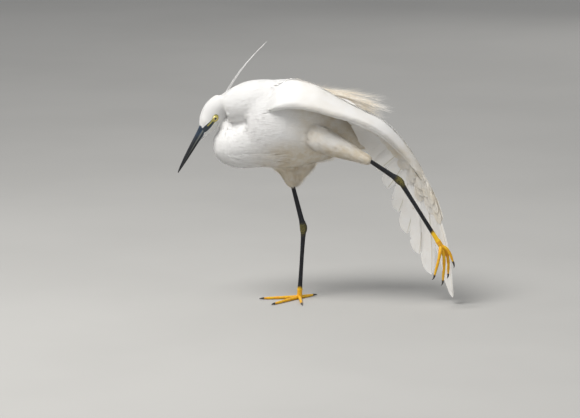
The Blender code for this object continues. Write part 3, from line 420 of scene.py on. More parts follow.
def head_rings():
    behind, middle, half_height, half_width = curve(HEAD_SECTIONS, even(30)).T
    angle = full_turn(36)
    up = middle[:, None] + half_height[:, None] * np.sin(angle)
    return on_head(behind[:, None] + 0 * angle, up, half_width[:, None] * np.cos(angle))


def torso_rings():
    x, y, z, half_height, half_width = curve(TORSO_SECTIONS, even(46)).T
    angle = full_turn(48)
    return mm(x[:, None] + 0 * angle, y[:, None] + half_width[:, None] * np.cos(angle),
              z[:, None] + half_height[:, None] * np.sin(angle)).transpose(1, 2, 0)


def neck_forms():
    upper, lower = (tube_rings(path, radii, 24, 32, flat=NECK_FLATNESS)
                    for path, radii in ((UPPER_NECK, UPPER_NECK_RADII), (LOWER_NECK, LOWER_NECK_RADII)))
    crop = ball_rings(LOWER_NECK[1], LOWER_NECK_RADII[1] * MM, 20, 32, (1, NECK_FLATNESS, 1))
    throat = ball_rings(mm(-108, -3, 262), 14 * MM, 12, 20)
    jaw = [on_head(behind, up, 0) for behind, up in ((-17, -6.0), (-8, -6.6), (4, -9.0), (16, -11))]
    chin = tube_rings(jaw, (1.8, 3.4, 6.0, 8), 16, 20, side=HEAD_LEFT)
    return [upper, lower, crop, throat, chin]


RIGHT_THIGH = (RIGHT_HIP, RIGHT_KNEE, (RIGHT_KNEE + RIGHT_FEATHER_END * 2) / 3, RIGHT_FEATHER_END)
LEFT_THIGH = (LEFT_HIP, LEFT_KNEE, LEFT_KNEE + (LEFT_FEATHER_END - LEFT_KNEE) * 0.55, LEFT_FEATHER_END)


def thigh_forms():
    right = tube_rings(RIGHT_THIGH, (26, 28, 14, 5.2), 24, 28)
    rear = tube_rings([mm(14, 24, 226), mm(6, 22, 200), mm(-7, 18, 174)], (20, 14, 4.5), 14, 20)
    left = tube_rings(LEFT_THIGH, (20, 21, 13.5, 5.6), 24, 28)
    return [right, rear, left]


def arm_frame(u):
    """Nose point, ridge point, direction along the left arm and the direction out of its upper face."""
    u = np.asarray(u, float)
    nose, ridge = curve(WING_NOSE, u), curve(WING_RIDGE, u)
    before, after = np.maximum(u - 0.02, 0), np.minimum(u + 0.02, 1)
    along = unit(curve(WING_NOSE, after) - curve(WING_NOSE, before)
                 + curve(WING_RIDGE, after) - curve(WING_RIDGE, before))
    upper = unit(np.cross(ridge - nose, along))
    upper = np.where(upper[..., 2:] < 0, -upper, upper)
    return nose, ridge, along, upper


def arm_rings():
    u = even(60)
    nose, ridge, _, upper = arm_frame(u)
    middle, half = ((nose + ridge) / 2)[:, None], ((ridge - nose) / 2)[:, None]
    thick = curve(WING_THICKNESS, u)[:, None, None] * MM
    angle = full_turn(32)[None, :, None]
    rise = np.where(np.sin(angle) > 0, 0.7, 1.0) * thick
    return middle + half * np.cos(angle) + upper[:, None] * rise * np.sin(angle)


def beside_torso(x, z, out):
    """Points a given distance outside the torso's right side, all in mm."""
    y_mid, z_mid, half_height, half_width = row_at(TORSO_SECTIONS, x)
    angle = np.arcsin(np.clip((z - z_mid) / half_height, -0.92, 0.92))
    normal = unit(np.stack([0 * angle, np.cos(angle) / half_width, np.sin(angle) / half_height], axis=-1))
    surface = np.stack([x + 0 * angle, y_mid + half_width * np.cos(angle), z + 0 * angle], axis=-1)
    return (surface + normal * np.asarray(out)[..., None]) * MM


def folded_out(x, z):
    """How far the folded wing's flesh stands out of the torso, in mm."""
    middle, half_height, thick = row_at(FOLDED_WING, x)
    height = np.minimum(1.0, np.abs(z - middle) / half_height)
    return 1.0 + thick * (1 + np.sqrt(1 - height * height))


def folded_rings():
    x, middle, half_height, thick = curve(FOLDED_WING, even(40)).T[:, :, None]
    angle = full_turn(32)
    return beside_torso(x + 0 * angle, middle + half_height * np.sin(angle), 1.0 + thick * (1 + np.cos(angle)))


# The skin that the feathers grow on

SKIN_VOXEL = 1.5 * MM
LIE_SMOOTHING = 40          # passes over the skin's edges
COAT_SMOOTHING = 30
VANE_FORMS = (7, 8)         # numbers of the forms that vanes cover: the arm and the folded wing
BODY_LIE = np.array((1.0, 0, 0.1))
# The coat beside the bill and where the feathering of a leg ends, in mm
FACE_COAT = {"depth": 0.45, "length": 2.8, "spacing": 0.72, "width": 0.34}
LEG_END_COAT = {"depth": 0.8, "length": 9, "spacing": 1.2}


class Skin:
    """Points, normals, the lie of the coat, its depth and the unwrap of the skin's mesh."""

    def __init__(self, obj, sources, ways, coats, kinds):
        """coats holds depth, spacing, length and width of the coat, and kinds the form's number, by source."""
        self.obj = obj
        mesh = obj.data
        self.points = read_array(mesh.vertices, "co", 3).astype(float)
        self.normals = read_array(mesh.vertex_normals, "vector", 3).astype(float)
        finder = kd_tree(sources)
        nearest = np.array([finder.find(p)[1] for p in self.points])
        self.edges = read_array(mesh.edges, "vertices", 2, np.int32)
        self.lie = flat_on(self.spread(ways[nearest], LIE_SMOOTHING), self.normals)
        self.depth, self.spacing, self.length, self.width = self.spread(coats[nearest], COAT_SMOOTHING).T
        kind = kinds[nearest]
        shares = np.column_stack([np.isin(kind, VANE_FORMS), kind > max(VANE_FORMS), kind < 2])
        self.vane_share, self.thigh_share, self.head_share = self.spread(shares.astype(float), 3).T

    def spread(self, values, passes):
        """Values averaged with those of the neighbouring points."""
        first, second = self.edges.T
        count = len(self.points)
        share = 1.0 + np.bincount(first, minlength=count) + np.bincount(second, minlength=count)
        for _ in range(passes):
            total = values.copy()
            for k in range(values.shape[1]):
                total[:, k] += np.bincount(first, values[second, k], count)
                total[:, k] += np.bincount(second, values[first, k], count)
            values = total / share[:, None]
        return values

    def settle(self):
        """Draws the skin in by the coat's depth and keeps what the feathers are set by."""
        mesh = self.obj.data
        self.points -= self.normals * self.depth[:, None]
        write_array(mesh.vertices, "co", self.points)
        mesh.update()
        self.finder = kd_tree(self.points)
        mesh.calc_loop_triangles()
        self.triangles = read_array(mesh.loop_triangles, "vertices", 3, np.int32)
        loops = read_array(mesh.loop_triangles, "loops", 3, np.int32)
        self.places = read_array(mesh.uv_layers[BAKE_MAP].uv, "vector", 2)[loops]
        corners = self.points[self.triangles]
        self.areas = np.linalg.norm(np.cross(corners[:, 1] - corners[:, 0], corners[:, 2] - corners[:, 0]),
                                    axis=1) / 2
        self.vertex_place = np.zeros((len(self.points), 2))
        self.vertex_place[self.triangles.ravel()] = self.places.reshape(-1, 2)

    def near(self, points):
        find = self.finder.find
        return np.array([find(p)[1] for p in points.reshape(-1, 3)]).reshape(points.shape[:-1])

    def roots(self, spacing, allowed, rng):
        """Well spaced random places on the skin: points, normals, lies, depths and bake places.

        spacing and allowed are functions of an array of points.
        """
        finest = np.percentile(spacing(self.points[allowed(self.points)]), 3)
        count = int(self.areas.sum() / finest ** 2 * 4)
        picks = rng.choice(len(self.areas), count, p=self.areas / self.areas.sum())
        split = rng.random((count, 2))
        split = np.where(split.sum(axis=1, keepdims=True) > 1, 1 - split, split)
        weights = np.column_stack([1 - split.sum(axis=1), split])
        corners = self.triangles[picks]

        def mixed(values):
            return (values[corners] * weights[:, :, None]).sum(axis=1)
        points = mixed(self.points)
        keep = np.flatnonzero(allowed(points))
        points = points[keep]
        reach = spacing(points)
        finder = kd_tree(points)
        alive = np.ones(len(points), bool)
        for i in range(len(points)):
            if alive[i]:
                for _, j, _ in finder.find_range(points[i], reach[i]):
                    alive[j] = False
                alive[i] = True
        chosen = keep[alive]
        places = (self.places[picks[chosen]] * weights[chosen][:, :, None]).sum(axis=1)
        normals = unit(mixed(self.normals)[chosen])
        coats = np.column_stack([self.depth, self.length, self.width])
        return points[alive], normals, flat_on(mixed(self.lie)[chosen], normals), mixed(coats)[chosen], places

    def walk(self, start, way, normals, steps):
        """Lines over the skin that follow the lie, from start. steps holds their distances by row."""
        line, fronts = [start], [normals]
        here, heading = start, way
        turn = way - flat_on(self.lie[self.near(start)], normals)
        for k in range(steps.shape[1]):
            there = here + heading * steps[:, k:k + 1]
            i = self.near(there)
            front = self.normals[i]
            there = there - front * dot(there - self.points[i], front)
            here, heading = there, flat_on(self.lie[i] + turn, front)
            line.append(here)
            fronts.append(front)
        return np.stack(line, axis=1), np.stack(fronts, axis=1)


def kd_tree(points):
    tree = KDTree(len(points))
    for i, p in enumerate(points):
        tree.insert(p, i)
    tree.balance()
    return tree


def row_ways(rings):
    """Direction from each ring to the next."""
    return unit(np.gradient(rings, axis=0))


def crop_ways(rings):
    """Down over the front of the neck's fold and back under it."""
    height = rings[..., 2:] / MM
    back = smooth_step(262, 212, height)
    return unit(np.array((1.0, 0, 0)) * (0.25 + back) + np.array((0, 0, -1.0)) * (1.15 - back))


def make_skin():
    plumage = settings("plumage")
    upper, lower, crop, throat, chin = neck_forms()
    head, arm, folded = head_rings(), arm_rings(), folded_rings()
    head_coat = np.array((plumage.head_coat, plumage.head_spacing, 6.0 * MM, 0.42 * MM))
    neck_coat = np.array((plumage.neck_coat, plumage.neck_spacing, 15 * MM, 0.62 * MM))
    body_coat = np.array((plumage.body_coat, plumage.body_spacing, 21 * MM, 0.85 * MM))
    thigh_coat = np.array((plumage.body_coat * 0.75, plumage.thigh_spacing, 15 * MM, 0.7 * MM))
    wing_coat = np.array((plumage.wing_coat, plumage.body_spacing, 18 * MM, 0.8 * MM))
    forms = [
        (head, row_ways(head), head_coat),
        (chin, row_ways(chin), head_coat * (0.7, 0.9, 0.8, 0.9)),
        (upper, row_ways(upper), neck_coat),
        (lower, row_ways(lower) + 0.5 * crop_ways(lower), neck_coat),
        (crop, crop_ways(crop), neck_coat),
        (throat, crop_ways(throat), neck_coat),
        (torso_rings(), None, body_coat),
        (arm, row_ways(arm), wing_coat),
        (folded, row_ways(folded), wing_coat),
    ]
    for rings in thigh_forms():
        start = smooth_step(0.45, 0.15, even(len(rings)))[:, None, None]
        forms.append((rings, unit(row_ways(rings) + start * np.array((1.5, 0, 0))), thigh_coat))
    kinds = np.concatenate([np.full(rings.shape[0] * rings.shape[1], number)
                            for number, (rings, _, _) in enumerate(forms)])
    points, polygons = joined([loft_arrays(rings) for rings, _, _ in forms])
    obj = remeshed(mesh_object("skin", points, polygons), SKIN_VOXEL, 5)
    ways = [row_ways(rings) if way is None else unit(way) for rings, way, _ in forms]
    coats = [np.broadcast_to(coat, (rings.shape[0] * rings.shape[1], 4)) for rings, _, coat in forms]
    skin = Skin(obj, points, np.concatenate([w.reshape(-1, 3) for w in ways]),
                np.vstack(coats), kinds)
    behind = head_place(skin.points)[:, 0]
    near_bill = np.linalg.norm(skin.points - BILL_BASE, axis=1) < 42 * MM
    face = np.where(near_bill, smooth_step(24, 0, behind), 0) * smooth_step(0.3, 0.8, skin.head_share)
    for share, coat in ((face, FACE_COAT), (leg_end_nearness(skin.points), LEG_END_COAT)):
        for field, value in coat.items():
            old = getattr(skin, field)
            setattr(skin, field, old + (value * MM - old) * share)
    along_body = (smooth_step(-104 * MM, -78 * MM, skin.points[:, 0]) * (1 - skin.vane_share)
                  * (1 - skin.thigh_share) * (1 - skin.head_share))[:, None]
    skin.lie = flat_on(skin.lie * (1 - along_body) + BODY_LIE * along_body, skin.normals)
    skin.lie = flat_on(skin.spread(skin.lie, LIE_SMOOTHING), skin.normals)
    unwrap(obj)
    skin.settle()
    return skin


def leg_end_nearness(points):
    """One where the feathering of a leg ends, falling to nothing 25 mm above."""
    near = [np.linalg.norm(points - end, axis=1) for end in (RIGHT_FEATHER_END, LEFT_FEATHER_END)]
    return smooth_step(25 * MM, 4 * MM, np.minimum(*near))


def unwrap(obj):
    """Lays the surface of a mesh out on the bake map."""
    layers = obj.data.uv_layers
    layers.active = layers.new(name=BAKE_MAP)
    bpy.ops.object.select_all(action="DESELECT")
    obj.select_set(True)
    bpy.context.view_layer.objects.active = obj
    bpy.ops.object.mode_set(mode="EDIT")
    bpy.ops.mesh.select_all(action="SELECT")
    bpy.ops.uv.smart_project(angle_limit=math.radians(66), island_margin=0.002)
    bpy.ops.object.mode_set(mode="OBJECT")


# Feathers from arrays

BLADE_SIDES = 3
KEEL = 0.26                 # height of a blade's middle over its half width


def blade_arrays(line, side, up, half_width, keel):
    """Closed three-sided blades that end in a point.

    line, side and up are (blades, rows, 3); half_width and keel are (blades, rows), the last row a point.
    """
    count, rows = line.shape[:2]
    left = line + side * half_width[..., None]
    right = line - side * half_width[..., None]
    top = line + up * keel[..., None]
    body = np.stack([left, top, right], axis=2)[:, :-1].reshape(count, -1, 3)
    points = np.concatenate([body, line[:, -1:]], axis=1)
    per = BLADE_SIDES * (rows - 1) + 1
    base = (np.arange(count) * per)[:, None, None]
    r, k = np.meshgrid(np.arange(rows - 2), np.arange(BLADE_SIDES), indexing="ij")
    nxt = (k + 1) % BLADE_SIDES
    quads = np.stack([r * 3 + k, (r + 1) * 3 + k, (r + 1) * 3 + nxt, r * 3 + nxt], axis=-1).reshape(1, -1, 4)
    last = 3 * (rows - 2)
    triangles = np.array([[last, per - 1, last + 1], [last + 1, per - 1, last + 2],
                          [last + 2, per - 1, last], [0, 1, 2]])[None]
    return points.reshape(-1, 3), (quads + base).reshape(-1, 4), (triangles + base).reshape(-1, 3), per


def blade_map(along):
    """The vane map of one blade whose rows before the tip are at the given places along it."""
    u = np.append(np.tile((1.0, 0.0, -1.0), len(along)), 0.0)
    return np.column_stack([u, np.append(np.repeat(along, BLADE_SIDES), 1.0)])


def patches(places, vane_map):
    """Small patches of the bake map about the given places, laid out as the vane map."""
    return np.clip(places + (vane_map * (0.5, 1) - (0, 0.5)) * TUFT_PATCH, 0.0005, 0.9995)


def feather_mesh(name, points, polygons, bake, vane_map, tone):
    return mesh_object(name, points, polygons, {BAKE_MAP: bake, VANE_MAP: vane_map}, {"tone": tone})


def tuft_piece(name, skin, roots, rng, blades, fan, rows=4, wander=0.12, scale=(1, 1, 1), level=0.5):
    """Tufts of narrow blades that lie over the skin, one tuft at each root.

    fan is how far the outer blades turn aside, in radians; wander is how far the tufts stray from the lie;
    scale is that of the coat's depth, length and width; beyond level a blade runs along the coat's surface.
    """
    start, normals, lies, coats, places = roots
    count = len(start)
    rise, length, width = (coats * scale).T
    length = length * rng.uniform(0.82, 1.12, count)
    way = flat_on(turned(lies, normals, rng.normal(0, wander, count)), normals)
    steps = np.repeat((length / (rows - 1))[:, None], rows - 1, axis=1)
    line, fronts = skin.walk(start, way, normals, steps)
    t = even(rows)
    along = unit(np.gradient(line, axis=1))
    side = unit(np.cross(fronts, along))
    parts = []
    for number in range(blades):
        place = number / (blades - 1) * 2 - 1
        angle = place * fan + rng.normal(0, fan * 0.3 + 0.02, count)
        own = length * rng.uniform(0.75, 1.05, count) * (1 - 0.12 * abs(place))
        share = own / length
        shift = np.tan(angle)[:, None] * (t * own[:, None]) + place * width[:, None] * 0.3
        lifted = rise * rng.uniform(0.8, 1.0, count)
        height = lifted[:, None] * (smooth_step(-0.2, level, t) * 1.3 - 0.3 - 0.12 * t ** 2)
        body = line[:, :1] + (line - line[:, :1]) * share[:, None, None]
        centre = body + side * shift[..., None] + fronts * height[..., None]
        taper = np.interp(t, (0, 0.35, 0.75, 1), (0.55, 1.0, 0.72, 0))
        half = width[:, None] * 0.5 * taper * rng.uniform(0.8, 1.2, count)[:, None]
        parts.append((centre, side, fronts, half, half * KEEL))
    centre, across, up, half, keel = (np.concatenate([p[k] for p in parts]) for k in range(5))
    points, quads, triangles, per = blade_arrays(centre, across, up, half, keel)
    vane_map = np.tile(blade_map(t[:-1]), (count * blades, 1))
    bake = patches(np.repeat(np.tile(places, (blades, 1)), per, axis=0), vane_map)
    tone = np.repeat(np.tile(rng.random(count), blades), per)
    return feather_mesh(name, points, [quads, triangles], bake, vane_map, tone)


COLUMNS = np.array((-1, -0.8, -0.5, -0.2, -0.06, 0, 0.06, 0.2, 0.5, 0.8, 1.0))
FEW_COLUMNS = np.array((-1, -0.6, 0, 0.6, 1.0))


def map_rows(u, v):
    """Places on a map by row: u runs along each row and v from row to row."""
    return np.stack(np.broadcast_arrays(u[None], v[:, None]), axis=-1).reshape(-1, 2)


def vane_arrays(line, normal, left, right, thick=0.4 * MM, camber=0.12, shaft=0.0, columns=FEW_COLUMNS,
                lower_shaft=0.0):
    """Closed thin vanes. line is (vanes, rows, 3); left and right are widths (vanes, rows).

    shaft and lower_shaft are how far the quill stands out of the two faces at its root.
    """
    count, rows = line.shape[:2]
    along = unit(np.gradient(line, axis=1))
    side = unit(np.cross(normal, along))
    up = np.cross(along, side)
    t = even(rows)
    reach = np.where(columns > 0, left[..., None], right[..., None]) * columns
    bow = -camber * np.abs(reach) * np.abs(columns) ** 0.7
    quill = np.clip(1 - np.abs(columns) / 0.1, 0, 1) * (1 - 0.85 * t[:, None])
    body = np.where(np.abs(columns) == 1, 0.0, thick / 2) * (1 - 0.5 * t[:, None])

    def face(height):
        return line[:, :, None] + side[:, :, None] * reach[..., None] + up[:, :, None] * height[..., None]
    top = face(bow + body + shaft * quill)
    bottom = face(bow - body - lower_shaft * quill)[:, :, -2:0:-1]
    points = np.concatenate([top, bottom], axis=2)
    sides = points.shape[2]
    faces = grid_faces(count, rows, sides, True)[:, ::-1]
    order = np.arange(sides)
    base = (np.arange(count) * rows * sides)[:, None]
    caps = np.concatenate([base + order, base + (rows - 1) * sides + order[::-1]])
    u = np.concatenate([columns, columns[-2:0:-1]])
    return points.reshape(-1, 3), faces, caps, np.tile(map_rows(u, t), (count, 1)), rows * sides


def cell_places(count):
    """Cells of the bake map, one for each vane: their low corners and their size."""
    columns = max(1, int(math.ceil(math.sqrt(count * 0.4))))
    rows = int(math.ceil(count / columns))
    number = np.arange(count)
    corner = np.column_stack([(number % columns) / columns, (number // columns) / rows])
    return corner, np.array((1 / columns, 1 / rows))


def vane_piece(name, groups, skin=None):
    """One mesh of vanes. groups holds the results of vane_arrays.

    With a skin each vane is a small patch at its root's place, otherwise each has a cell of its own.
    """
    points, polygons = joined([group[:3] for group in groups])
    vane_map = np.vstack([group[3] for group in groups])
    per = np.concatenate([np.full(len(group[0]) // group[4], group[4]) for group in groups])
    firsts = np.concatenate([[0], np.cumsum(per)[:-1]])
    if skin is None:
        corner, size = cell_places(len(per))
        bake = np.repeat(corner, per, axis=0) + (vane_map * (0.45, 0.92) + (0.5, 0.04)) * size
    else:
        root = skin.vertex_place[skin.near(points[firsts])]
        bake = patches(np.repeat(root, per, axis=0), vane_map)
    tone = np.repeat(np.random.default_rng(len(per)).random(len(per)), per)
    return feather_mesh(name, points, polygons, bake, vane_map, tone)


def vane_width(t, root, full_at, tip_at, tip=0.12):
    """Share of the full width along a vane with a rounded tip."""
    rising = root + (1 - root) * smooth_step(0, full_at, t)
    end = np.clip((t - tip_at) / (1 - tip_at), 0, 1)
    return rising * np.sqrt(np.maximum(1 - end ** 2, tip ** 2))


# Finishes

def put(tree, kind, values=None, **options):
    """A new node with its options and the values of its inputs."""
    made = tree.nodes.new(kind)
    for label, value in options.items():
        setattr(made, label, value)
    for label, value in (values or {}).items():
        made.inputs[label].default_value = value
    return made


def link(tree, source, target):
    tree.links.new(source, target)


def feed(tree, value, socket):
    """Gives a socket a number, a colour or a link from another socket."""
    if hasattr(value, "links"):
        link(tree, value, socket)
    else:
        socket.default_value = value if isinstance(value, (int, float)) else (*value, 1.0)


def maths(tree, operation, first, second=0.0):
    """A Math node. Each of first and second is a socket or a number."""
    made = put(tree, "ShaderNodeMath", operation=operation)
    feed(tree, first, made.inputs[0])
    feed(tree, second, made.inputs[1])
    return made.outputs[0]


def times(tree, first, second):
    return maths(tree, "MULTIPLY", first, second)


def ranged(tree, value, low, high, to_low=0.0, to_high=1.0):
    made = put(tree, "ShaderNodeMapRange", {"From Min": low, "From Max": high, "To Min": to_low,
                                            "To Max": to_high}, interpolation_type="SMOOTHSTEP")
    link(tree, value, made.inputs["Value"])
    return made.outputs["Result"]


def blended(tree, share, first, second):
    """Mix of two colours. Each may be a socket or a colour, share a socket or a number."""
    made = put(tree, "ShaderNodeMix", data_type="RGBA")
    for number, value in ((0, share), (6, first), (7, second)):
        feed(tree, value, made.inputs[number])
    return made.outputs[2]


def noise(tree, vector, scale, detail=3.0):
    made = put(tree, "ShaderNodeTexNoise", {"Scale": scale, "Detail": detail})
    link(tree, vector, made.inputs["Vector"])
    return made.outputs["Fac"]


def combined(tree, *values):
    """A vector of sockets or numbers."""
    made = put(tree, "ShaderNodeCombineXYZ")
    for socket, value in zip(made.inputs, values):
        feed(tree, value, socket)
    return made.outputs[0]


def place_on_object(tree):
    return put(tree, "ShaderNodeTexCoord").outputs["Object"]


def vane_place(tree):
    """Across, from -1 to 1, and along, from 0 to 1, of a feather or a scale."""
    read = put(tree, "ShaderNodeUVMap", uv_map=VANE_MAP)
    split = put(tree, "ShaderNodeSeparateXYZ")
    link(tree, read.outputs[0], split.inputs[0])
    return split.outputs[0], split.outputs[1]


def attribute(tree, name):
    return put(tree, "ShaderNodeAttribute", attribute_name=name, attribute_type="GEOMETRY").outputs["Fac"]


def bump(tree, shader, height, strength, distance):
    made = put(tree, "ShaderNodeBump", {"Strength": strength, "Distance": distance})
    link(tree, height, made.inputs["Height"])
    link(tree, made.outputs[0], shader.inputs["Normal"])


def new_material(name, **sockets):
    """A material, its nodes and its shader, with the plain values of the shader's sockets."""
    made = bpy.data.materials.new(name)
    made.use_nodes = True
    shader = made.node_tree.nodes["Principled BSDF"]
    for label, value in sockets.items():
        shader.inputs[label.replace("_", " ")].default_value = value
    return made, made.node_tree, shader


def new_group(name, inputs, **outputs):
    """An empty node group: the numbers that it takes, with their defaults, and the kinds that it puts out."""
    tree = bpy.data.node_groups.new(name, "ShaderNodeTree")
    for label, default in inputs.items():
        tree.interface.new_socket(label, in_out="INPUT", socket_type="NodeSocketFloat").default_value = default
    for label, kind in outputs.items():
        tree.interface.new_socket(label, in_out="OUTPUT", socket_type="NodeSocket" + kind)
    return tree, tree.nodes.new("NodeGroupInput").outputs, tree.nodes.new("NodeGroupOutput").inputs


def placed_group(tree, group, **values):
    made = put(tree, "ShaderNodeGroup", node_tree=group)
    for label, value in values.items():
        made.inputs[label].default_value = value
    return made.outputs


def barbs_group():
    """Fine lines that slant forward from the shaft on both sides of a vane."""
    if "Barbs" in bpy.data.node_groups:
        return bpy.data.node_groups["Barbs"]
    tree, given, result = new_group("Barbs", {"Count": 120.0, "Slant": 0.12}, Height="Float",
                                    Streak="Float", Shaft="Float")
    u, v = vane_place(tree)
    out = maths(tree, "ABSOLUTE", u)
    along = maths(tree, "SUBTRACT", v, times(tree, out, given["Slant"]))
    phase = times(tree, along, given["Count"])
    wave = maths(tree, "SINE", times(tree, phase, 2 * math.pi))
    tone = attribute(tree, "tone")
    spot = combined(tree, times(tree, phase, 0.35), times(tree, out, 0.6), times(tree, tone, 40.0))
    streak = noise(tree, spot, 1.0, 2.0)
    height = maths(tree, "ADD", times(tree, wave, 0.3), streak)
    link(tree, height, result["Height"])
    link(tree, ranged(tree, streak, 0.35, 0.7), result["Streak"])
    link(tree, ranged(tree, out, 0.1, 0.02), result["Shaft"])
    return tree


def plumage_colour_group():
    """White, with painted warm shade under the body, on the thighs and in the wing's lining, and a soft mottle.
    """
    if "Plumage colour" in bpy.data.node_groups:
        return bpy.data.node_groups["Plumage colour"]
    plumage = settings("plumage")
    tree, given, result = new_group("Plumage colour", {"Cream": 1.0}, Color="Color")
    place = place_on_object(tree)
    split = put(tree, "ShaderNodeSeparateXYZ")
    link(tree, place, split.inputs[0])
    x, y, z = split.outputs
    # Share of the painted warm shade: strongest low under the body and in the wing's lining near the middle,
    # where shade falls.
    under = ranged(tree, maths(tree, "SUBTRACT", z, times(tree, x, 0.12)), 0.262, 0.212)
    behind_breast = ranged(tree, x, -0.088, -0.02)
    beside = ranged(tree, maths(tree, "ABSOLUTE", y), 0.020, 0.045, 1.0, 0.55)
    lining = times(tree, ranged(tree, x, -0.03, 0.02), ranged(tree, x, 0.165, 0.09))
    painted_shade_share = maths(tree, "MAXIMUM", times(tree, under, behind_breast),
                 times(tree, lining, times(tree, beside, 0.75)))
    soft = noise(tree, place, 38.0, 3.0)
    painted_shade_share = times(tree, painted_shade_share, ranged(tree, soft, 0.25, 0.65, 0.35, 1.0))
    painted_shade_share = times(tree, painted_shade_share, given["Cream"])
    colour = blended(tree, painted_shade_share, plumage.white, plumage.painted_warm_shade)
    grey = blended(tree, ranged(tree, noise(tree, place, 120.0, 2.0), 0.4, 0.75, 0.0, 0.35), colour,
                   plumage.root)
    link(tree, grey, result["Color"])
    return tree


# Barbs along a feather and their slant, the strength of its painted warm shade, how far its painted root shade,
# streaks and neighbours differ, the colour of its shaft and the relief of its barbs
FEATHER_LOOKS = {
    "head": (6, 0.3, 1.0, 0.1, 0.08, 0.06, None, 0.16),
    "tuft": (10, 0.4, 1.5, 0.2, 0.2, 0.22, None, 0.16),
    "plume": (4, 0.2, 1.0, 0.15, 0.1, 0.12, None, 0.16),
    "aigrette": (4, 0.2, 1.6, 0.1, 0.1, 0.12, None, 0.16),
    "lance": (8, 0.3, 1.0, 0.3, 0.12, 0.12, None, 0.16),
    "flight": (150, 0.10, 0.25, 0.35, 0.30, 0.12, (0.72, 0.68, 0.58), 0.35),
    "covert": (40, 0.16, 0.8, 0.2, 0.12, 0.12, (0.80, 0.78, 0.72), 0.16),
    "satin": (16, 0.3, 0.6, 0.2, 0.12, 0.05, None, 0.12),
}


def feather_material(kind):
    """White feather: barbs, painted shade towards the root, and a little unlike its neighbours."""
    name = "plumage_" + kind
    if name in bpy.data.materials:
        return bpy.data.materials[name]
    count, slant, painted_warm_shade, root_painted_shade, streak_shade, tone_shade, shaft, strength = FEATHER_LOOKS[kind]
    made, tree, shader = new_material(name, Roughness=0.62, Sheen_Weight=0.15, Sheen_Roughness=0.5,
                                      Subsurface_Weight=0.3, Subsurface_Scale=0.003, Specular_IOR_Level=0.2,
                                      Subsurface_Radius=(1.0, 0.97, 0.93))
    place = placed_group(tree, plumage_colour_group(), Cream=painted_warm_shade)
    barbs = placed_group(tree, barbs_group(), Count=count, Slant=slant)
    colour = place["Color"]
    # The first share is painted shade, darker towards each feather's root; the streaks and the random tone
    # follow.
    for share in (ranged(tree, vane_place(tree)[1], 0.55, 0.0, 0.0, root_painted_shade),
                  times(tree, barbs["Streak"], streak_shade), times(tree, attribute(tree, "tone"), tone_shade)):
        colour = blended(tree, share, colour, settings("plumage").root)
    if shaft:
        colour = blended(tree, barbs["Shaft"], colour, shaft)
    link(tree, colour, shader.inputs["Base Color"])
    link(tree, ranged(tree, barbs["Streak"], 0.0, 1.0, 0.52, 0.72), shader.inputs["Roughness"])
    bump(tree, shader, barbs["Height"], strength, 0.0003)
    return made


def skin_material():
    """Bare skin under the coat, with the coat's own colour: its painted warm shade and its mottle."""
    made, tree, shader = new_material("plumage_skin", Roughness=0.8)
    place = placed_group(tree, plumage_colour_group(), Cream=1.0)
    grain = noise(tree, place_on_object(tree), 900.0)
    colour = blended(tree, ranged(tree, grain, 0.3, 0.7, 0.1, 0.6), place["Color"], settings("plumage").root)
    link(tree, colour, shader.inputs["Base Color"])
    bump(tree, shader, grain, 0.4, 0.0006)
    return made


# Left wing

SOURCE_FEATHERS = 18        # flight feathers that the table of tips is made for


def all_flight_tips():
    spread = np.array(OUTER_TIPS + FAN_TIPS)
    closed = curve(CLOSED_TIPS, np.linspace(0, 1, SOURCE_FEATHERS - len(spread)))
    return np.vstack([spread, closed])


FLIGHT_TIPS = all_flight_tips()
# Place in the table of each flight feather: the primaries first, then the closer set secondaries
FLIGHT_NUMBERS = np.append(np.arange(PRIMARIES), np.linspace(PRIMARIES, SOURCE_FEATHERS - 1, SECONDARIES))


def flight_tip(number):
    return curve(FLIGHT_TIPS, np.asarray(number) / (SOURCE_FEATHERS - 1))


def flight_place(number):
    """Where along the arm a flight feather is rooted."""
    number = np.asarray(number, float)
    hand = HAND_END + (WRIST + 0.01 - HAND_END) * number / (PRIMARIES - 1)
    arm = WRIST - 0.01 + (ELBOW - WRIST) * (number - PRIMARIES) / (SOURCE_FEATHERS - PRIMARIES - 1)
    return np.where(number < PRIMARIES - 0.5, hand, arm)


def flight_root(number, sink=0.25):
    nose, ridge = arm_frame(flight_place(number))[:2]
    return ridge + (nose - ridge) * np.asarray(sink)[..., None]


def wing_plane(number):
    """Direction towards the trailing edge and the direction out of the lower face at a feather."""
    number = np.asarray(number, float)
    low, high = np.maximum(number - 2, 0), np.minimum(number + 2, SOURCE_FEATHERS - 1)
    trailing = unit(flight_tip(high) - flight_tip(low) + flight_root(high) - flight_root(low))
    along = unit(flight_tip(number) - flight_root(number))
    trailing = unit(trailing - along * dot(trailing, along))
    lower = unit(np.cross(along, trailing))
    return trailing, np.where(lower[..., 1:2] > 0, -lower, lower)


def flight_line(number, t, share=1.0, lift=0.0, sink=0.25, aside=0.0):
    """Lines along flight feathers, or along coverts that lie on them: (feathers, rows, 3)."""
    root, tip = flight_root(number, sink), flight_tip(number)
    trailing, lower = wing_plane(number)
    bow = lower * (-5 * MM)
    bow = bow - trailing * np.where(number < PRIMARIES, (12 - number) * 0.9 * MM, 0)[:, None]
    line = bowed(root, tip, bow, t * np.reshape(share, (-1, 1)))
    rise = np.asarray(lift) * MM * np.ones(len(number))
    out = rise[:, None, None] * (0.3 + 0.7 * np.minimum(1.0, 2.5 * t))[None, :, None]
    turn = np.asarray(aside) * np.ones(len(number))
    return line + lower[:, None] * out + trailing[:, None] * (turn[:, None, None] * t[None, :, None])


def wing_sides(number, tilt=0.2, face=1):
    """Normals of the vanes on the wing, tilted so that each lies over its neighbour."""
    trailing, lower = wing_plane(number)
    return unit(lower - trailing * tilt)[:, None] * face


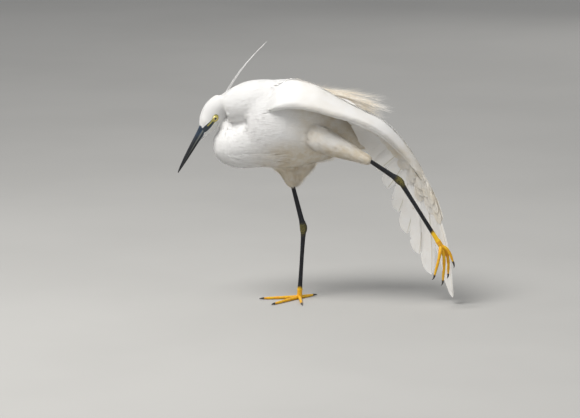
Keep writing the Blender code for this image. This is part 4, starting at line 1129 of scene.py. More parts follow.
def notches(rng, count, t, often=3, deep=0.3):
    """Narrow splits in the edge of vanes, as a share of the width that is left."""
    cut = np.ones((count, len(t)))
    for _ in range(often):
        at, wide = rng.uniform(0.3, 0.97, (count, 1)), rng.uniform(0.006, 0.014, (count, 1))
        cut -= rng.uniform(0, deep, (count, 1)) * np.exp(-((t[None] - at) / wide) ** 2)
    return cut


def flight_vanes(rng):
    """The ten primaries and the secondaries, from broad rounded vanes with a strong quill."""
    t = even(44)
    number = FLIGHT_NUMBERS
    line = flight_line(number, t)
    normal = wing_sides(number)
    outer = number < len(OUTER_TIPS)
    broad = np.where(outer, 14.5, 18.0)[:, None] * MM
    narrow = np.where(outer, 3.4, 6.2)[:, None] * MM
    primary = (number < PRIMARIES)[:, None]
    shape = np.where(primary, vane_width(t, 0.3, 0.55, 0.80)[None], vane_width(t, 0.35, 0.45, 0.88)[None])
    cut_in = np.where(outer[:, None], 1 - 0.35 * smooth_step(0.55, 0.75, t)[None], 1.0)
    inner = broad * shape * cut_in * notches(rng, len(number), t)
    leading = narrow * shape * (1 - 0.25 * smooth_step(0.5, 0.8, t)[None] * primary) * notches(
        rng, len(number), t, 2, 0.15)
    lean = (t[None, :, None] ** 3) * 1.5 * MM * rng.normal(0, 1, (len(number), 1, 1))
    trailing, _ = wing_plane(number)
    line = line + trailing[:, None] * lean
    side = np.cross(normal[:, 0], unit(line[:, 1] - line[:, 0]))
    towards = dot(side, trailing)[:, :1] > 0
    left, right = np.where(towards, inner, leading), np.where(towards, leading, inner)
    return vane_arrays(line, normal, left, right, thick=0.45 * MM, camber=0.06, shaft=0.7 * MM,
                       columns=COLUMNS, lower_shaft=0.5 * MM)


def covert_rows(rng):
    """Coverts in tiers over the roots of the flight feathers, on both faces of the wing."""
    groups = []
    t = even(12)
    tiers = ((0.44, 1.6, 12.5, 0.30, 14), (0.33, 2.4, 11.5, 0.36, 15), (0.22, 3.2, 10, 0.45, 16))
    for face in (1, -1):
        for share, lift, width, sink, count in tiers:
            number = (SOURCE_FEATHERS - 1.4) * even(count) ** 0.8 + rng.normal(0.4, 0.05, count)
            number = np.clip(number, 0, SOURCE_FEATHERS - 1)
            reach = share * np.interp(number, (0, 3, PRIMARIES, 17), (0.72, 0.85, 1.0, 1.18))
            reach = reach * rng.uniform(0.95, 1.05, count)
            line = flight_line(number, t, reach, face * lift, np.full(count, sink),
                               rng.normal(0, 1.2, count) * MM)
            normal = wing_sides(number, 0.10 * face, face)
            half = width * MM * np.interp(number, (0, 3, 8), (0.45, 0.7, 0.85))[:, None]
            half = half * vane_width(t, 0.5, 0.4, 0.72)[None] * rng.uniform(0.92, 1.08, (count, 1))
            groups.append(vane_arrays(line, normal, half, half, thick=0.14 * MM, camber=0.0,
                                      shaft=0.2 * MM, columns=COLUMNS))
    return groups


def arm_surface(u, angle, lift):
    """Points on the arm's section at an angle from the ridge over the upper face, and their normals."""
    nose, ridge, _, upper = arm_frame(u)
    half = (ridge - nose) / 2
    thick = curve(WING_THICKNESS, u) * MM
    rise = np.where(np.sin(angle) > 0, 0.7, 1.0) * thick
    size = np.linalg.norm(half, axis=-1)
    normal = unit(unit(half) * (np.cos(angle) / size)[..., None] + upper * (np.sin(angle) / rise)[..., None])
    point = (nose + ridge) / 2 + half * np.cos(angle)[..., None] + upper * (rise * np.sin(angle))[..., None]
    return point + normal * np.asarray(lift)[..., None], normal


ARM_LENGTH, ARM_CHORD = 300 * MM, 34 * MM       # of the left wing
ROOT_SINK = 0.9 * MM        # of the arm's small feathers into the skin
RIDGE_WRAP = 0.8            # how far past the ridge the upper feathers reach, in radians


def arm_coverts(rng, angles, spacing, length, width, lift, outwards, towards_ridge):
    """Rows of small feathers over the arm. angles are in degrees; outwards is their slant to the hand."""
    groups = []
    t = even(7)
    for row, angle in enumerate(angles):
        count = int(ARM_LENGTH / spacing)
        u = (np.arange(count) + 0.5 * (row % 2) + rng.normal(0, 0.12, count)) / count * 0.97 + 0.01
        chord = np.linalg.norm(curve(WING_RIDGE, u) - curve(WING_NOSE, u), axis=1)
        start = np.radians(angle) + rng.normal(0, 0.03, count)
        own = length * rng.uniform(0.9, 1.1, count) * np.clip(chord / ARM_CHORD, 0.45, 1)
        sweep = own * (1 - 0.5 * outwards) / np.maximum(chord / 2, 6 * MM)
        if towards_ridge:
            sweep = -np.minimum(sweep, start + RIDGE_WRAP)
        bend = start[:, None] + sweep[:, None] * t
        place = u[:, None] + (own * outwards / ARM_LENGTH)[:, None] * t
        height = lift * (0.3 + 0.7 * t)[None] - ROOT_SINK * (1 - np.minimum(1, 4 * t))[None]
        point, normal = arm_surface(np.clip(place, 0, 1), bend, height + 0 * bend)
        half = width * (own / length)[:, None] * vane_width(t, 0.6, 0.3, 0.62)[None]
        groups.append(vane_arrays(point, normal, half, half, thick=0.12 * MM, camber=0.03))
    return groups


def scapular_vanes(rng):
    """Feathers of the shoulder that close the gap between the wing and the back."""
    groups = []
    t = even(12)
    for row, (count, drop, width) in enumerate(((13, 0.0, 7.5), (11, 1.6, 8.5), (9, 3.0, 9))):
        share = even(count)
        nose, ridge, _, upper = arm_frame(0.08 + 0.27 * share)
        root = ridge + (nose - ridge) * (0.12 + 0.1 * row) + upper * (1.0 - drop) * MM
        tip = mm(58 + 54 * share - 8 * row, -1 - 17 * share, 305 - 35 * share - drop).T
        tip = tip + rng.normal(0, 1.0, (count, 3)) * MM
        half = width * MM * vane_width(t, 0.4, 0.4, 0.7)[None]
        groups.append(vane_arrays(bowed(root, tip, mm(0, 2, 5), t), direction(0.1, -0.25, 1.0), half,
                                  half, thick=0.35 * MM, camber=0.14, shaft=0.2 * MM))
    return groups


# Right wing and tail

def folded_surface(x, z, out):
    """Points over the folded wing's flesh and their normals, from x and z in mm."""
    def at(dx, dz):
        return beside_torso(x + dx, z + dz, folded_out(x + dx, z + dz) + out)
    here = at(0, 0)
    normal = unit(np.cross(at(0, 1.5) - at(0, -1.5), at(1.5, 0) - at(-1.5, 0)))
    return here, np.where(normal[..., 1:2] < 0, -normal, normal)


# Where each row of the folded wing's coverts starts, their length, half width and lift, in mm
FOLDED_ROWS = (
    (-56, 20, 3.6, 0.3), (-51, 21, 3.7, 0.4), (-46, 22, 3.8, 0.4), (-41, 23, 3.9, 0.5), (-35, 24, 4.0, 0.5),
    (-29, 25, 4.2, 0.6), (-23, 27, 4.4, 0.7), (-16, 29, 4.7, 0.8), (-8, 32, 5.1, 0.9), (1, 36, 5.6, 1.0),
    (11, 41, 6.2, 1.2), (22, 46, 6.8, 1.4), (35, 48, 7.4, 1.6),
)


def folded_rows(rng):
    groups = []
    t = even(9)
    for x0, length, width, lift in FOLDED_ROWS:
        middle, half_height, _ = row_at(FOLDED_WING, x0)
        count = max(4, int(half_height * 2 * 0.96 / (width * 0.85)))
        place = np.linspace(0.94, -0.94, count) + rng.normal(0, 0.02, count)
        z0 = middle + half_height * place
        start = x0 + 3.5 * (1 - np.abs(place)) + rng.normal(0, 0.5, count)
        own = length * rng.uniform(0.94, 1.06, count)
        x = start[:, None] + own[:, None] * t
        fall = np.interp(x0, (-50, 40), (2, 9)) * (0.4 + 0.6 * (place + 1) / 2)
        z = z0[:, None] - fall[:, None] * t
        seat = 1.6 * np.maximum(0, 1 - 4 * t)
        point, normal = folded_surface(x, z, lift * (0.35 + 0.8 * t)[None] - seat[None] + 0 * x)
        half = width * MM * vane_width(t, 0.55, 0.35, 0.66)[None]
        groups.append(vane_arrays(point, normal, half, half, thick=0.12 * MM, camber=0.03, shaft=0.1 * MM,
                                  columns=COLUMNS))
    return groups


def folded_flight(rng):
    """The inner flight feathers over the back and the tips of the primaries below them."""
    t = even(26)

    def fan(x, z, sink, tip, bow, across, half):
        root = beside_torso(x, z, folded_out(x, z) - sink)
        normal = np.cross(unit(tip - root), unit(across))
        normal = np.where(normal[:, 1:2] < 0, -normal, normal)
        half = half * MM * notches(rng, len(x), t)
        return vane_arrays(bowed(root, tip, bow, t), normal[:, None], half, half, thick=0.4 * MM, camber=0.1,
                           shaft=0.5 * MM, columns=COLUMNS)
    n = np.linspace(0, 5, 11)
    tip = mm(100 + 7 * n, 29 + 2.6 * n, 256 - 7.5 * n).T + rng.normal(0, 0.7, (len(n), 3)) * MM
    inner = fan(40 + 3 * n, 280 - 7 * n, 2, tip, mm(0, 7, 3),
                np.stack([0 * n, -0.9 + 0.13 * n, 1 + 0 * n], axis=-1),
                8.5 * vane_width(t, 0.35, 0.4, 0.82))
    n = np.linspace(0, 3, 7)
    ends = fan(66 + 0 * n, 244 - 3 * n, 3, mm(147 + 5 * n, 42 - 1.2 * n, 217 - 4 * n).T, mm(0, 6, 2),
               np.array((0, 0.15, 1.0)), 5.8 * vane_width(t, 0.4, 0.4, 0.85))
    return [inner, ends]


def tail_vanes(rng):
    """Twelve feathers in pairs, the middle pair uppermost, and the coverts over and under their roots."""
    along = unit(TAIL_TIP - TAIL_ROOT)
    over = unit(np.cross(SIDEWAYS, along))
    over = over if over[2] > 0 else -over
    t = even(26)
    pair = np.repeat(np.arange(TAIL_FEATHERS // 2), 2)
    hand = np.tile((-1, 1), TAIL_FEATHERS // 2)
    place = (hand * (0.5 + pair) / 5.5)[:, None]
    drop = over * ((2.6 - 1.15 * pair) * MM)[:, None]
    root = TAIL_ROOT + along * 4 * MM + SIDEWAYS * 5 * MM * place + drop * 0.6
    tip = TAIL_TIP + SIDEWAYS * 15 * MM * place - along * 6 * MM * place ** 2 + drop
    normal = unit(over + SIDEWAYS * 0.03 * hand[:, None])
    shape = vane_width(t, 0.4, 0.4, 0.86)[None] * notches(rng, len(pair), t)
    side = np.cross(normal, unit(tip - root))
    outward = (dot(side, SIDEWAYS)[:, 0] * hand > 0)[:, None]
    left, right = (np.where(outward, *pair) * MM * shape for pair in ((4.6, 3.8), (3.8, 4.6)))
    groups = [vane_arrays(bowed(root, tip, over * 4 * MM, t), normal[:, None], left, right, thick=0.4 * MM,
                          camber=0.08, shaft=0.4 * MM, columns=COLUMNS, lower_shaft=0.3 * MM)]
    t = even(12)
    for face, far, count in ((1, 38, 9), (1, 30, 8), (1, 21, 7), (-1, 32, 8), (-1, 22, 7)):
        place = np.linspace(-1, 1, count)[:, None]
        root = TAIL_ROOT + over * 2.6 * face * MM + SIDEWAYS * 7 * MM * place + along * (far - 26) * 0.4 * MM
        tip = (TAIL_ROOT + along * (far - 3 * place ** 2) * MM + SIDEWAYS * 11 * MM * place
               + over * face * (8 - far * 0.06 if face > 0 else 4) * MM)
        normal = unit(over * face + SIDEWAYS * 0.35 * place)
        half = 4.6 * MM * vane_width(t, 0.5, 0.4, 0.66)[None]
        groups.append(vane_arrays(bowed(root, tip, over * 3 * face * MM, t), normal[:, None], half, half,
                                  thick=0.3 * MM, camber=0.14, shaft=0.15 * MM))
    return groups


# Bill, eyes and face

# From the base, height, depth and half width, in mm
BILL_SECTIONS = ((-5, 6.9, 6.0, 5.8), (0, 6.9, 6.0, 5.6), (9, 6.0, 5.3, 4.9), (20, 5.3, 4.7, 4.2),
                 (36, 4.4, 4.0, 3.5), (52, 3.4, 3.1, 2.7), (65, 2.2, 1.9, 1.8), (73, 1.2, 1.0, 1.0),
                 (76, 0.5, 0.4, 0.45))
BILL_LENGTH = 76
BILL_SAG = 1.4              # of the tip below a straight mouth line, in mm


def loft_with_map(rings, u, v):
    """A loft whose vane map holds u around and v along it."""
    return *loft_arrays(rings), map_rows(u, v)


def loft_piece(name, lofts, **numbers):
    """One mesh of several lofts that have maps, with numbers that are the same at each point."""
    points, polygons = joined([part[:3] for part in lofts])
    return mesh_object(name, points, polygons, {VANE_MAP: np.vstack([part[3] for part in lofts])},
                       {label: np.full(len(points), value) for label, value in numbers.items()})


def mandible_loft(upper):
    """Half of the bill. The upper one has a ridge, a nostril slit and a groove before it."""
    table = np.array(BILL_SECTIONS, float)
    along = np.concatenate([np.linspace(-5, 24, 36)[:-1], np.linspace(24, 70, 30)[:-1],
                            np.linspace(70, 76, 9)])
    height, depth, half_width = (curve(table[:, k], np.interp(along, table[:, 0], even(len(table))))
                                 for k in (1, 2, 3))
    reach = height if upper else -depth
    sag = BILL_SAG * (along / BILL_LENGTH) ** 3
    angle = np.linspace(0, math.pi, 27)
    rise = np.sin(angle) ** (0.82 if upper else 0.95)
    lift = np.where(upper, 0.12, -0.12) + reach[:, None] * rise - sag[:, None]
    side = half_width[:, None] * np.cos(angle) * (1 - 0.10 * np.sin(angle) ** 4)
    if upper:
        ahead = along[:, None]
        slit = np.exp(-((ahead - 10) / 4.2) ** 4 - ((lift - 2.7) / 0.55) ** 2)
        groove = np.exp(-((lift - 3.1) / 1.1) ** 2) * smooth_step(34, 12, ahead)
        side = side - np.sign(side) * (0.95 * slit + 0.45 * groove)
    rows = on_head(-along[:, None] + 0 * angle, lift, side)
    floor = on_head(-along[:, None] + 0 * angle[:5], lift[:, :1] * np.ones(5)
                    + (0.5 if upper else -0.5) * np.sin(np.linspace(0, math.pi, 5)),
                    half_width[:, None] * np.linspace(-1, 1, 7)[1:-1] * 0.8)
    rings = np.concatenate([rows, floor], axis=1)
    edge = np.concatenate([np.sin(angle), np.zeros(5)])
    return loft_with_map(rings, edge, (along + 5) / (BILL_LENGTH + 5))


def bill_material():
    """Black horn, painted blue grey sheen at the base, fine lines along it, a painted pale highlight on the
    mouth line.
    """
    face = settings("face")
    made, tree, shader = new_material("bill_horn", Roughness=0.36, Coat_Weight=0.1, Coat_Roughness=0.2,
                                      Specular_IOR_Level=0.35)
    edge, along = vane_place(tree)
    cloud = noise(tree, place_on_object(tree), 130.0, 4.0)
    # Painted sheen: blue grey painted towards the base as a reflection.
    base = times(tree, ranged(tree, along, 0.42, 0.02), ranged(tree, cloud, 0.3, 0.7, 0.35, 1.0))
    colour = blended(tree, base, face.horn, face.painted_sheen)
    # Painted highlight: a pale line painted along the mouth line.
    mouth = times(tree, ranged(tree, edge, 0.20, 0.03), ranged(tree, along, 0.75, 0.15, 0.15, 0.8))
    colour = blended(tree, mouth, colour, (0.20, 0.21, 0.19))
    link(tree, colour, shader.inputs["Base Color"])
    grain = noise(tree, combined(tree, times(tree, edge, 16.0), times(tree, along, 5.0)), 1.0, 4.0)
    link(tree, ranged(tree, grain, 0.3, 0.75, 0.28, 0.5), shader.inputs["Roughness"])
    bump(tree, shader, maths(tree, "ADD", grain, times(tree, cloud, 0.5)), 0.25, 0.0003)
    return made


EYE_FORWARD = 0.16          # turn of the eyes towards the bill
LID_LORE = 0.05             # share of the lores' dark blue on the lids


def eye_frame(left):
    """Centre of an eye, its axis, and the two directions across it."""
    axis = unit(HEAD_LEFT * left + BILL * EYE_FORWARD)
    side = unit(np.cross(axis, CROWN))
    return on_head(EYE_BEHIND, EYE_UP, left * EYE_SIDE), axis, side, np.cross(side, axis)


def eye_loft(left):
    """An eyeball with a bulging cornea. The map's second number is the angle from the axis over pi."""
    eye = settings("face").eye
    centre, axis, side, up = eye_frame(left)
    tilt = np.concatenate([np.linspace(0.02, 1.0, 30), np.linspace(1.1, math.pi - 0.05, 18)])
    angle = full_turn(40)
    radius = eye * (1 + 0.04 * np.exp(-(tilt / 0.5) ** 2))[:, None, None]
    shape = (axis * np.cos(tilt)[:, None, None]
             + (side * np.cos(angle)[:, None] + up * np.sin(angle)[:, None]) * np.sin(tilt)[:, None, None])
    return loft_with_map(centre + shape * radius, angle / math.pi - 1, tilt / math.pi)


def eye_material():
    """Yellow iris with fine rays, a dark rim and a black pupil under a wet surface."""
    face = settings("face")
    made, tree, shader = new_material("eye", Roughness=0.08, Coat_Weight=1.0, Coat_Roughness=0.02,
                                      Specular_IOR_Level=0.6)
    round_eye, tilt = vane_place(tree)
    pupil = math.asin(face.pupil / face.eye) / math.pi
    fibres = noise(tree, combined(tree, times(tree, round_eye, 30.0), times(tree, tilt, 10.0)), 1.0)
    deep = tuple(c * 0.55 for c in face.iris)
    colour = blended(tree, ranged(tree, fibres, 0.35, 0.7), face.iris, deep)
    rim = math.asin(0.78) / math.pi
    for low, high, share, tint in ((pupil * 1.5, pupil * 1.05, 0.6, (0.45, 0.42, 0.16)),
                                   (rim * 0.9, rim * 1.08, 1.0, (0.05, 0.04, 0.02)),
                                   (pupil * 1.04, pupil * 0.94, 1.0, (0.002, 0.002, 0.002))):
        colour = blended(tree, ranged(tree, tilt, low, high, 0.0, share), colour, tint)
    link(tree, colour, shader.inputs["Base Color"])
    return made


def lid_loft(left):
    """The ring of bare skin round the eye, a little higher at the brow."""
    centre, axis, side, up = eye_frame(left)
    turn = full_turn(72)
    out = side * np.cos(turn)[:, None] + up * np.sin(turn)[:, None]
    oval = 4.45 + 0.12 * np.cos(2 * turn) - 0.35 * np.maximum(np.sin(turn), 0) ** 2
    ring = centre + out * (oval * MM)[:, None] + axis * 2.35 * MM
    around = full_turn(14)
    fat = (0.62 + 0.1 * np.sin(turn * 3) * 0.4)[:, None, None] * MM
    rings = ring[:, None] + (out[:, None] * np.cos(around)[:, None] * 1.25
                             + axis * np.sin(around)[:, None] * 0.95) * fat
    sides = grid_faces(1, len(turn) + 1, len(around), True) % (len(turn) * len(around))
    place = map_rows(around / math.pi - 1, turn / (2 * math.pi))
    return rings.reshape(-1, 3), sides, np.zeros((0, 4), int), place


# The bare face between bill and eye, in the head's own millimetres behind and up
def bare_share(behind, up):
    """One on the bare skin of the lores and round the eye, nothing on feathers."""
    middle = np.interp(behind, (-6, 4, 14, 22), (-0.6, -2.0, -3.6, -4.0))
    half = np.interp(behind, (-7, -4, -1, 6, 14, 18), (0.2, 2.6, 4.2, 4.0, 3.4, 3.6))
    lore = smooth_step(1.12, 0.9, np.abs(up - middle) / half) * smooth_step(19, 17, behind)
    away = np.hypot((behind - EYE_BEHIND) * 0.97, (up - EYE_UP) * 1.15)
    orbit = smooth_step(6.2, 5.5, away)
    return np.maximum(lore, orbit)


def lore_share(behind, up):
    """One on the dark blue lores, nothing on the yellow skin round the eye and under it."""
    streak = smooth_step(1.3, 0.5, np.abs(up - 0.2 + 0.16 * behind)) * smooth_step(3, 7, behind)
    low = smooth_step(-4.8, -6.2, up + 0.05 * behind) * smooth_step(8, 13, behind)
    dark = smooth_step(16.5, 14.5, behind) * (1 - 0.85 * np.maximum(streak, low))
    back = smooth_step(22, 25, behind) * smooth_step(5.0, 5.6, np.hypot(behind - EYE_BEHIND, up - EYE_UP))
    return np.maximum(dark, 0.9 * back)


def face_patch(left, surface):
    """A thin sheet of bare skin laid on the head between the bill and the back of the eye."""
    behind, up = np.meshgrid(np.linspace(-5.5, 29, 104), np.linspace(-12, 4.5, 60), indexing="ij")
    out = on_head(behind, up, left * 30.0)
    points, fronts = cast(surface, out, -HEAD_LEFT * left)
    share = bare_share(behind, up)
    keep = share > 0.02
    grain = 0.10 * np.sin(behind * 5.1 + np.sin(up * 3.3)) * np.sin(up * 6.2 + np.sin(behind * 2.1))
    wrinkle = 0.13 * np.sin(up * 4.0 + 0.5 * np.sin(behind * 0.9)) * smooth_step(20, 8, behind)
    lift = (-0.25 + 0.75 * share + (grain + wrinkle) * share) * MM
    top = points + fronts * lift[..., None]
    low = points - fronts * (1.2 * MM)
    return sheet_body(top, low, keep), np.concatenate([lore_share(behind, up)[None]] * 2)


def cast(surface, origins, direction):
    """Where rays meet a surface, and its normals there."""
    shape = origins.shape
    hits = np.empty((origins.size // 3, 3))
    fronts = np.empty_like(hits)
    for i, origin in enumerate(origins.reshape(-1, 3)):
        place, normal, _, _ = surface.ray_cast(origin, direction)
        if place is None:
            place, normal = origin + direction * 20 * MM, -direction
        hits[i], fronts[i] = place, normal
    return hits.reshape(shape), fronts.reshape(shape)


def sheet_body(top, low, keep):
    """A closed thin body from two grids of points, where keep says, as points, faces and the points in use."""
    rows, columns = keep.shape
    number = np.arange(rows * columns).reshape(rows, columns)
    cell = keep[:-1, :-1] & keep[1:, :-1] & keep[1:, 1:] & keep[:-1, 1:]
    a, b, c, d = number[:-1, :-1][cell], number[1:, :-1][cell], number[1:, 1:][cell], number[:-1, 1:][cell]
    quads = np.column_stack([a, b, c, d])
    under = quads[:, ::-1] + rows * columns
    edges = np.concatenate([quads[:, [k, (k + 1) % 4]] for k in range(4)])
    back = {(int(p), int(q)) for p, q in edges}
    rim = np.array([(p, q) for p, q in back if (q, p) not in back])
    walls = np.column_stack([rim[:, 1], rim[:, 0], rim[:, 0] + rows * columns, rim[:, 1] + rows * columns])
    faces = np.concatenate([quads, under, walls])
    used, faces = np.unique(faces, return_inverse=True)
    points = np.concatenate([top.reshape(-1, 3), low.reshape(-1, 3)])
    return points[used], faces.reshape(-1, 4), used


def face_material():
    """Bare skin: blue black lores, dull yellow round the eye, finely wrinkled."""
    face = settings("face")
    made, tree, shader = new_material("face_skin", Roughness=0.5, Subsurface_Weight=0.08,
                                      Subsurface_Scale=0.002)
    where = place_on_object(tree)
    cloud = noise(tree, where, 420.0, 3.0)
    mix = ranged(tree, maths(tree, "ADD", attribute(tree, "lore"),
                             times(tree, maths(tree, "SUBTRACT", cloud, 0.5), 0.9)), 0.3, 0.7)
    yellow = blended(tree, ranged(tree, noise(tree, where, 900.0, 2.0), 0.4, 0.7, 0.0, 0.5),
                     face.orbit, (0.30, 0.30, 0.12))
    link(tree, blended(tree, mix, yellow, face.lore), shader.inputs["Base Color"])
    bump(tree, shader, noise(tree, where, 1500.0, 3.0), 0.4, 0.0003)
    return made


# Legs and feet

TIBIA_RADIUS, ANKLE_RADIUS, TARSUS_RADIUS, LEG_FLATNESS = 3.6, 5.4, 3.0, 0.8
TOE_LENGTHS = {"inner": 47, "middle": 60, "outer": 54, "hind": 27}
TOE_SPREAD = {"inner": 42, "middle": 0, "outer": -44, "hind": 172}
CLAW_LENGTH = {"inner": 8, "middle": 8, "outer": 7.5, "hind": 10}
SCUTE_LENGTH = 2.6          # of one scale on the front of the leg, in mm


def scaled_limb(path, radii, front, flat=LEG_FLATNESS, spacing=SCUTE_LENGTH, step=0.35, relief=0.14,
                bulge=None, first=0.0):
    """A limb with rings of scales: raised plates on its front, finer net marks behind.

    path is in metres, radii in mm; front is the direction of the plates; first is the map's start along.
    """
    fine = curve(path, even(400))
    run = np.concatenate([[0], np.cumsum(np.linalg.norm(np.diff(fine, axis=0), axis=1))]) / MM
    count = int(run[-1] / step)
    where = np.linspace(0, run[-1], count + 1)
    t = np.interp(where, run, even(400))
    centre = curve(path, t)
    along = unit(np.gradient(centre, axis=0))
    ahead = flat_on(np.broadcast_to(front, along.shape), along)
    side = np.cross(along, ahead)
    angle = full_turn(28)
    face = np.cos(angle)[None]
    plate = smooth_step(0.05, 0.5, face)
    beat = where[:, None] / spacing + 0.12 * np.sin(3 * angle)[None]
    groove = np.exp(-((beat - np.round(beat)) / 0.11) ** 2)
    turns = where[:, None] / spacing * 2 * math.pi * 1.6
    net = np.sin(turns + angle * 2) * np.sin(turns - angle * 2)
    marks = -relief * groove * plate + 0.35 * relief * net * (1 - plate)
    radius = curve(radii, t)[:, None]
    if bulge is not None:
        radius = radius + bulge(where, angle)
    radius = (radius + marks) * MM
    ring = centre[:, None] + (ahead[:, None] * np.cos(angle)[None, :, None]
                              + side[:, None] * np.sin(angle)[None, :, None] * flat) * radius[..., None]
    return loft_with_map(ring, np.cos(angle), where / 100 + first)


def shank_loft(start, ankle, front):
    along = unit(ankle - start)
    path = [start - along * 10 * MM, start, (start + ankle) / 2, ankle - along * 12 * MM]
    return scaled_limb(path, TIBIA_RADIUS * np.array((0.85, 0.87, 1, 1.12)), front, relief=0.10)


def tarsus_loft(ankle, above, foot, front):
    """The ankle with its knobs and the long bone down to the foot."""
    down, up = unit(foot - ankle), unit(above - ankle)
    path = [ankle + up * 12.4 * MM, ankle + up * 5 * MM, ankle + down * 3 * MM, ankle + down * 14 * MM,
            (ankle + foot) / 2, foot - down * 14 * MM, foot - down * 5 * MM]
    radii = (TIBIA_RADIUS * 1.12, ANKLE_RADIUS * 0.95, ANKLE_RADIUS, TARSUS_RADIUS * 1.2, TARSUS_RADIUS,
             TARSUS_RADIUS * 1.12, TARSUS_RADIUS * 1.45)

    def knobs(where, angle):
        back = np.clip(-np.cos(angle), 0, 1)[None]
        return 0.55 * np.exp(-((where - 10) / 4.5) ** 2)[:, None] * back - 0.35 * np.exp(
            -((where - 19) / 3) ** 2)[:, None] * back
    return scaled_limb(path, radii, front, bulge=knobs)


def toe_loft(root, tip, arch, front, joints, radius=3.1, thin=2.1):
    """A toe with plates on top, a pad between each two joints and a swelling before the claw."""
    path = [root, root + (tip - root) * 0.33 + arch * 0.8, root + (tip - root) * 0.66 + arch * 0.7, tip]
    length = np.linalg.norm(tip - root) / MM

    def pads(where, angle):
        under = np.clip(-np.cos(angle), 0, 1)[None]
        beat = np.abs(np.sin(where / length * math.pi * joints))[:, None]
        return 0.45 * (beat - 0.5) * (0.35 + under) - 0.12
    radii = np.interp(even(6), (0, 0.8, 1), (radius, thin, thin * 0.8))
    return scaled_limb(path, radii, front, flat=0.95, spacing=2.1, bulge=pads, relief=0.13)


def claw_loft(base, along, length, down):
    t = even(18)
    centre = curve([base - along * 0.8 * MM, base + along * length * 0.3 * MM,
                    base + (along * 0.72 + down * 0.10) * length * MM,
                    base + (along + down * 0.3) * length * MM], t)
    forward = unit(np.gradient(centre, axis=0))
    side = unit(np.cross(forward, np.broadcast_to(down, forward.shape)))
    over = np.cross(side, forward)
    angle = full_turn(14)
    radius = np.interp(t, (0, 0.15, 0.6, 1), (1.55, 1.7, 1.05, 0.2))[:, None, None] * MM
    ring = centre[:, None] + (side[:, None] * np.cos(angle)[None, :, None] * 0.78
                              + over[:, None] * np.sin(angle)[None, :, None]) * radius
    return loft_with_map(ring, np.cos(angle), t)


def standing_foot_lofts():
    """The right foot flat on the floor and its claws."""
    forward = direction(-0.62, -0.78, 0)
    hub = np.array((RIGHT_FOOT[0], RIGHT_FOOT[1], 2.9 * MM))
    top = RIGHT_FOOT + unit(RIGHT_ANKLE - RIGHT_FOOT) * 5.2 * MM
    skin = [scaled_limb([top, RIGHT_FOOT + mm(0, 0, -1.5), hub + forward * 2 * MM], (4.35, 4.3, 4.2),
                        forward, first=0.9)]
    claws = []
    for name, length in TOE_LENGTHS.items():
        heading = turned(forward, UPWARDS, np.radians(TOE_SPREAD[name]))
        tip = hub + heading * length * MM - UPWARDS * 0.8 * MM
        joints = {"inner": 2, "middle": 3, "outer": 4, "hind": 1}[name]
        skin.append(toe_loft(hub, tip, UPWARDS * 0.0, UPWARDS, joints, 2.9, 2.05))
        claws.append(claw_loft(tip, heading, CLAW_LENGTH[name], -UPWARDS * 0.35))
    return skin, claws


def hanging_foot_lofts():
    """The left foot, its front toes hanging together and the hind toe apart."""
    down = unit(LEFT_FOOT - LEFT_ANKLE)
    top = LEFT_FOOT - down * 5.2 * MM
    forward = np.array((-0.55, -0.6, -0.3))
    skin = [scaled_limb([top, LEFT_FOOT, LEFT_FOOT + down * 6 * MM], (4.35, 4.2, 3.4), forward, first=0.9)]
    claws = []
    ends = {
        "middle": (mm(212, -79, 43.5), mm(4, 0, 4), 3),
        "inner": (mm(199.5, -86, 53), mm(2, -4, 4), 2),
        "outer": (mm(220, -70, 52), mm(6, 2, 3), 4),
        "hind": (mm(226.5, -78, 72), mm(3, 0, 4), 1),
    }
    for name, (tip, arch, joints) in ends.items():
        skin.append(toe_loft(LEFT_FOOT + down * 2 * MM, tip, arch, arch / np.linalg.norm(arch), joints))
        along = unit(tip - LEFT_FOOT - arch * 1.6)
        bend = unit(np.cross(along, SIDEWAYS))
        bend = -bend if bend[0] > 0 else bend
        claws.append(claw_loft(tip, along, CLAW_LENGTH[name], bend))
    return skin, claws


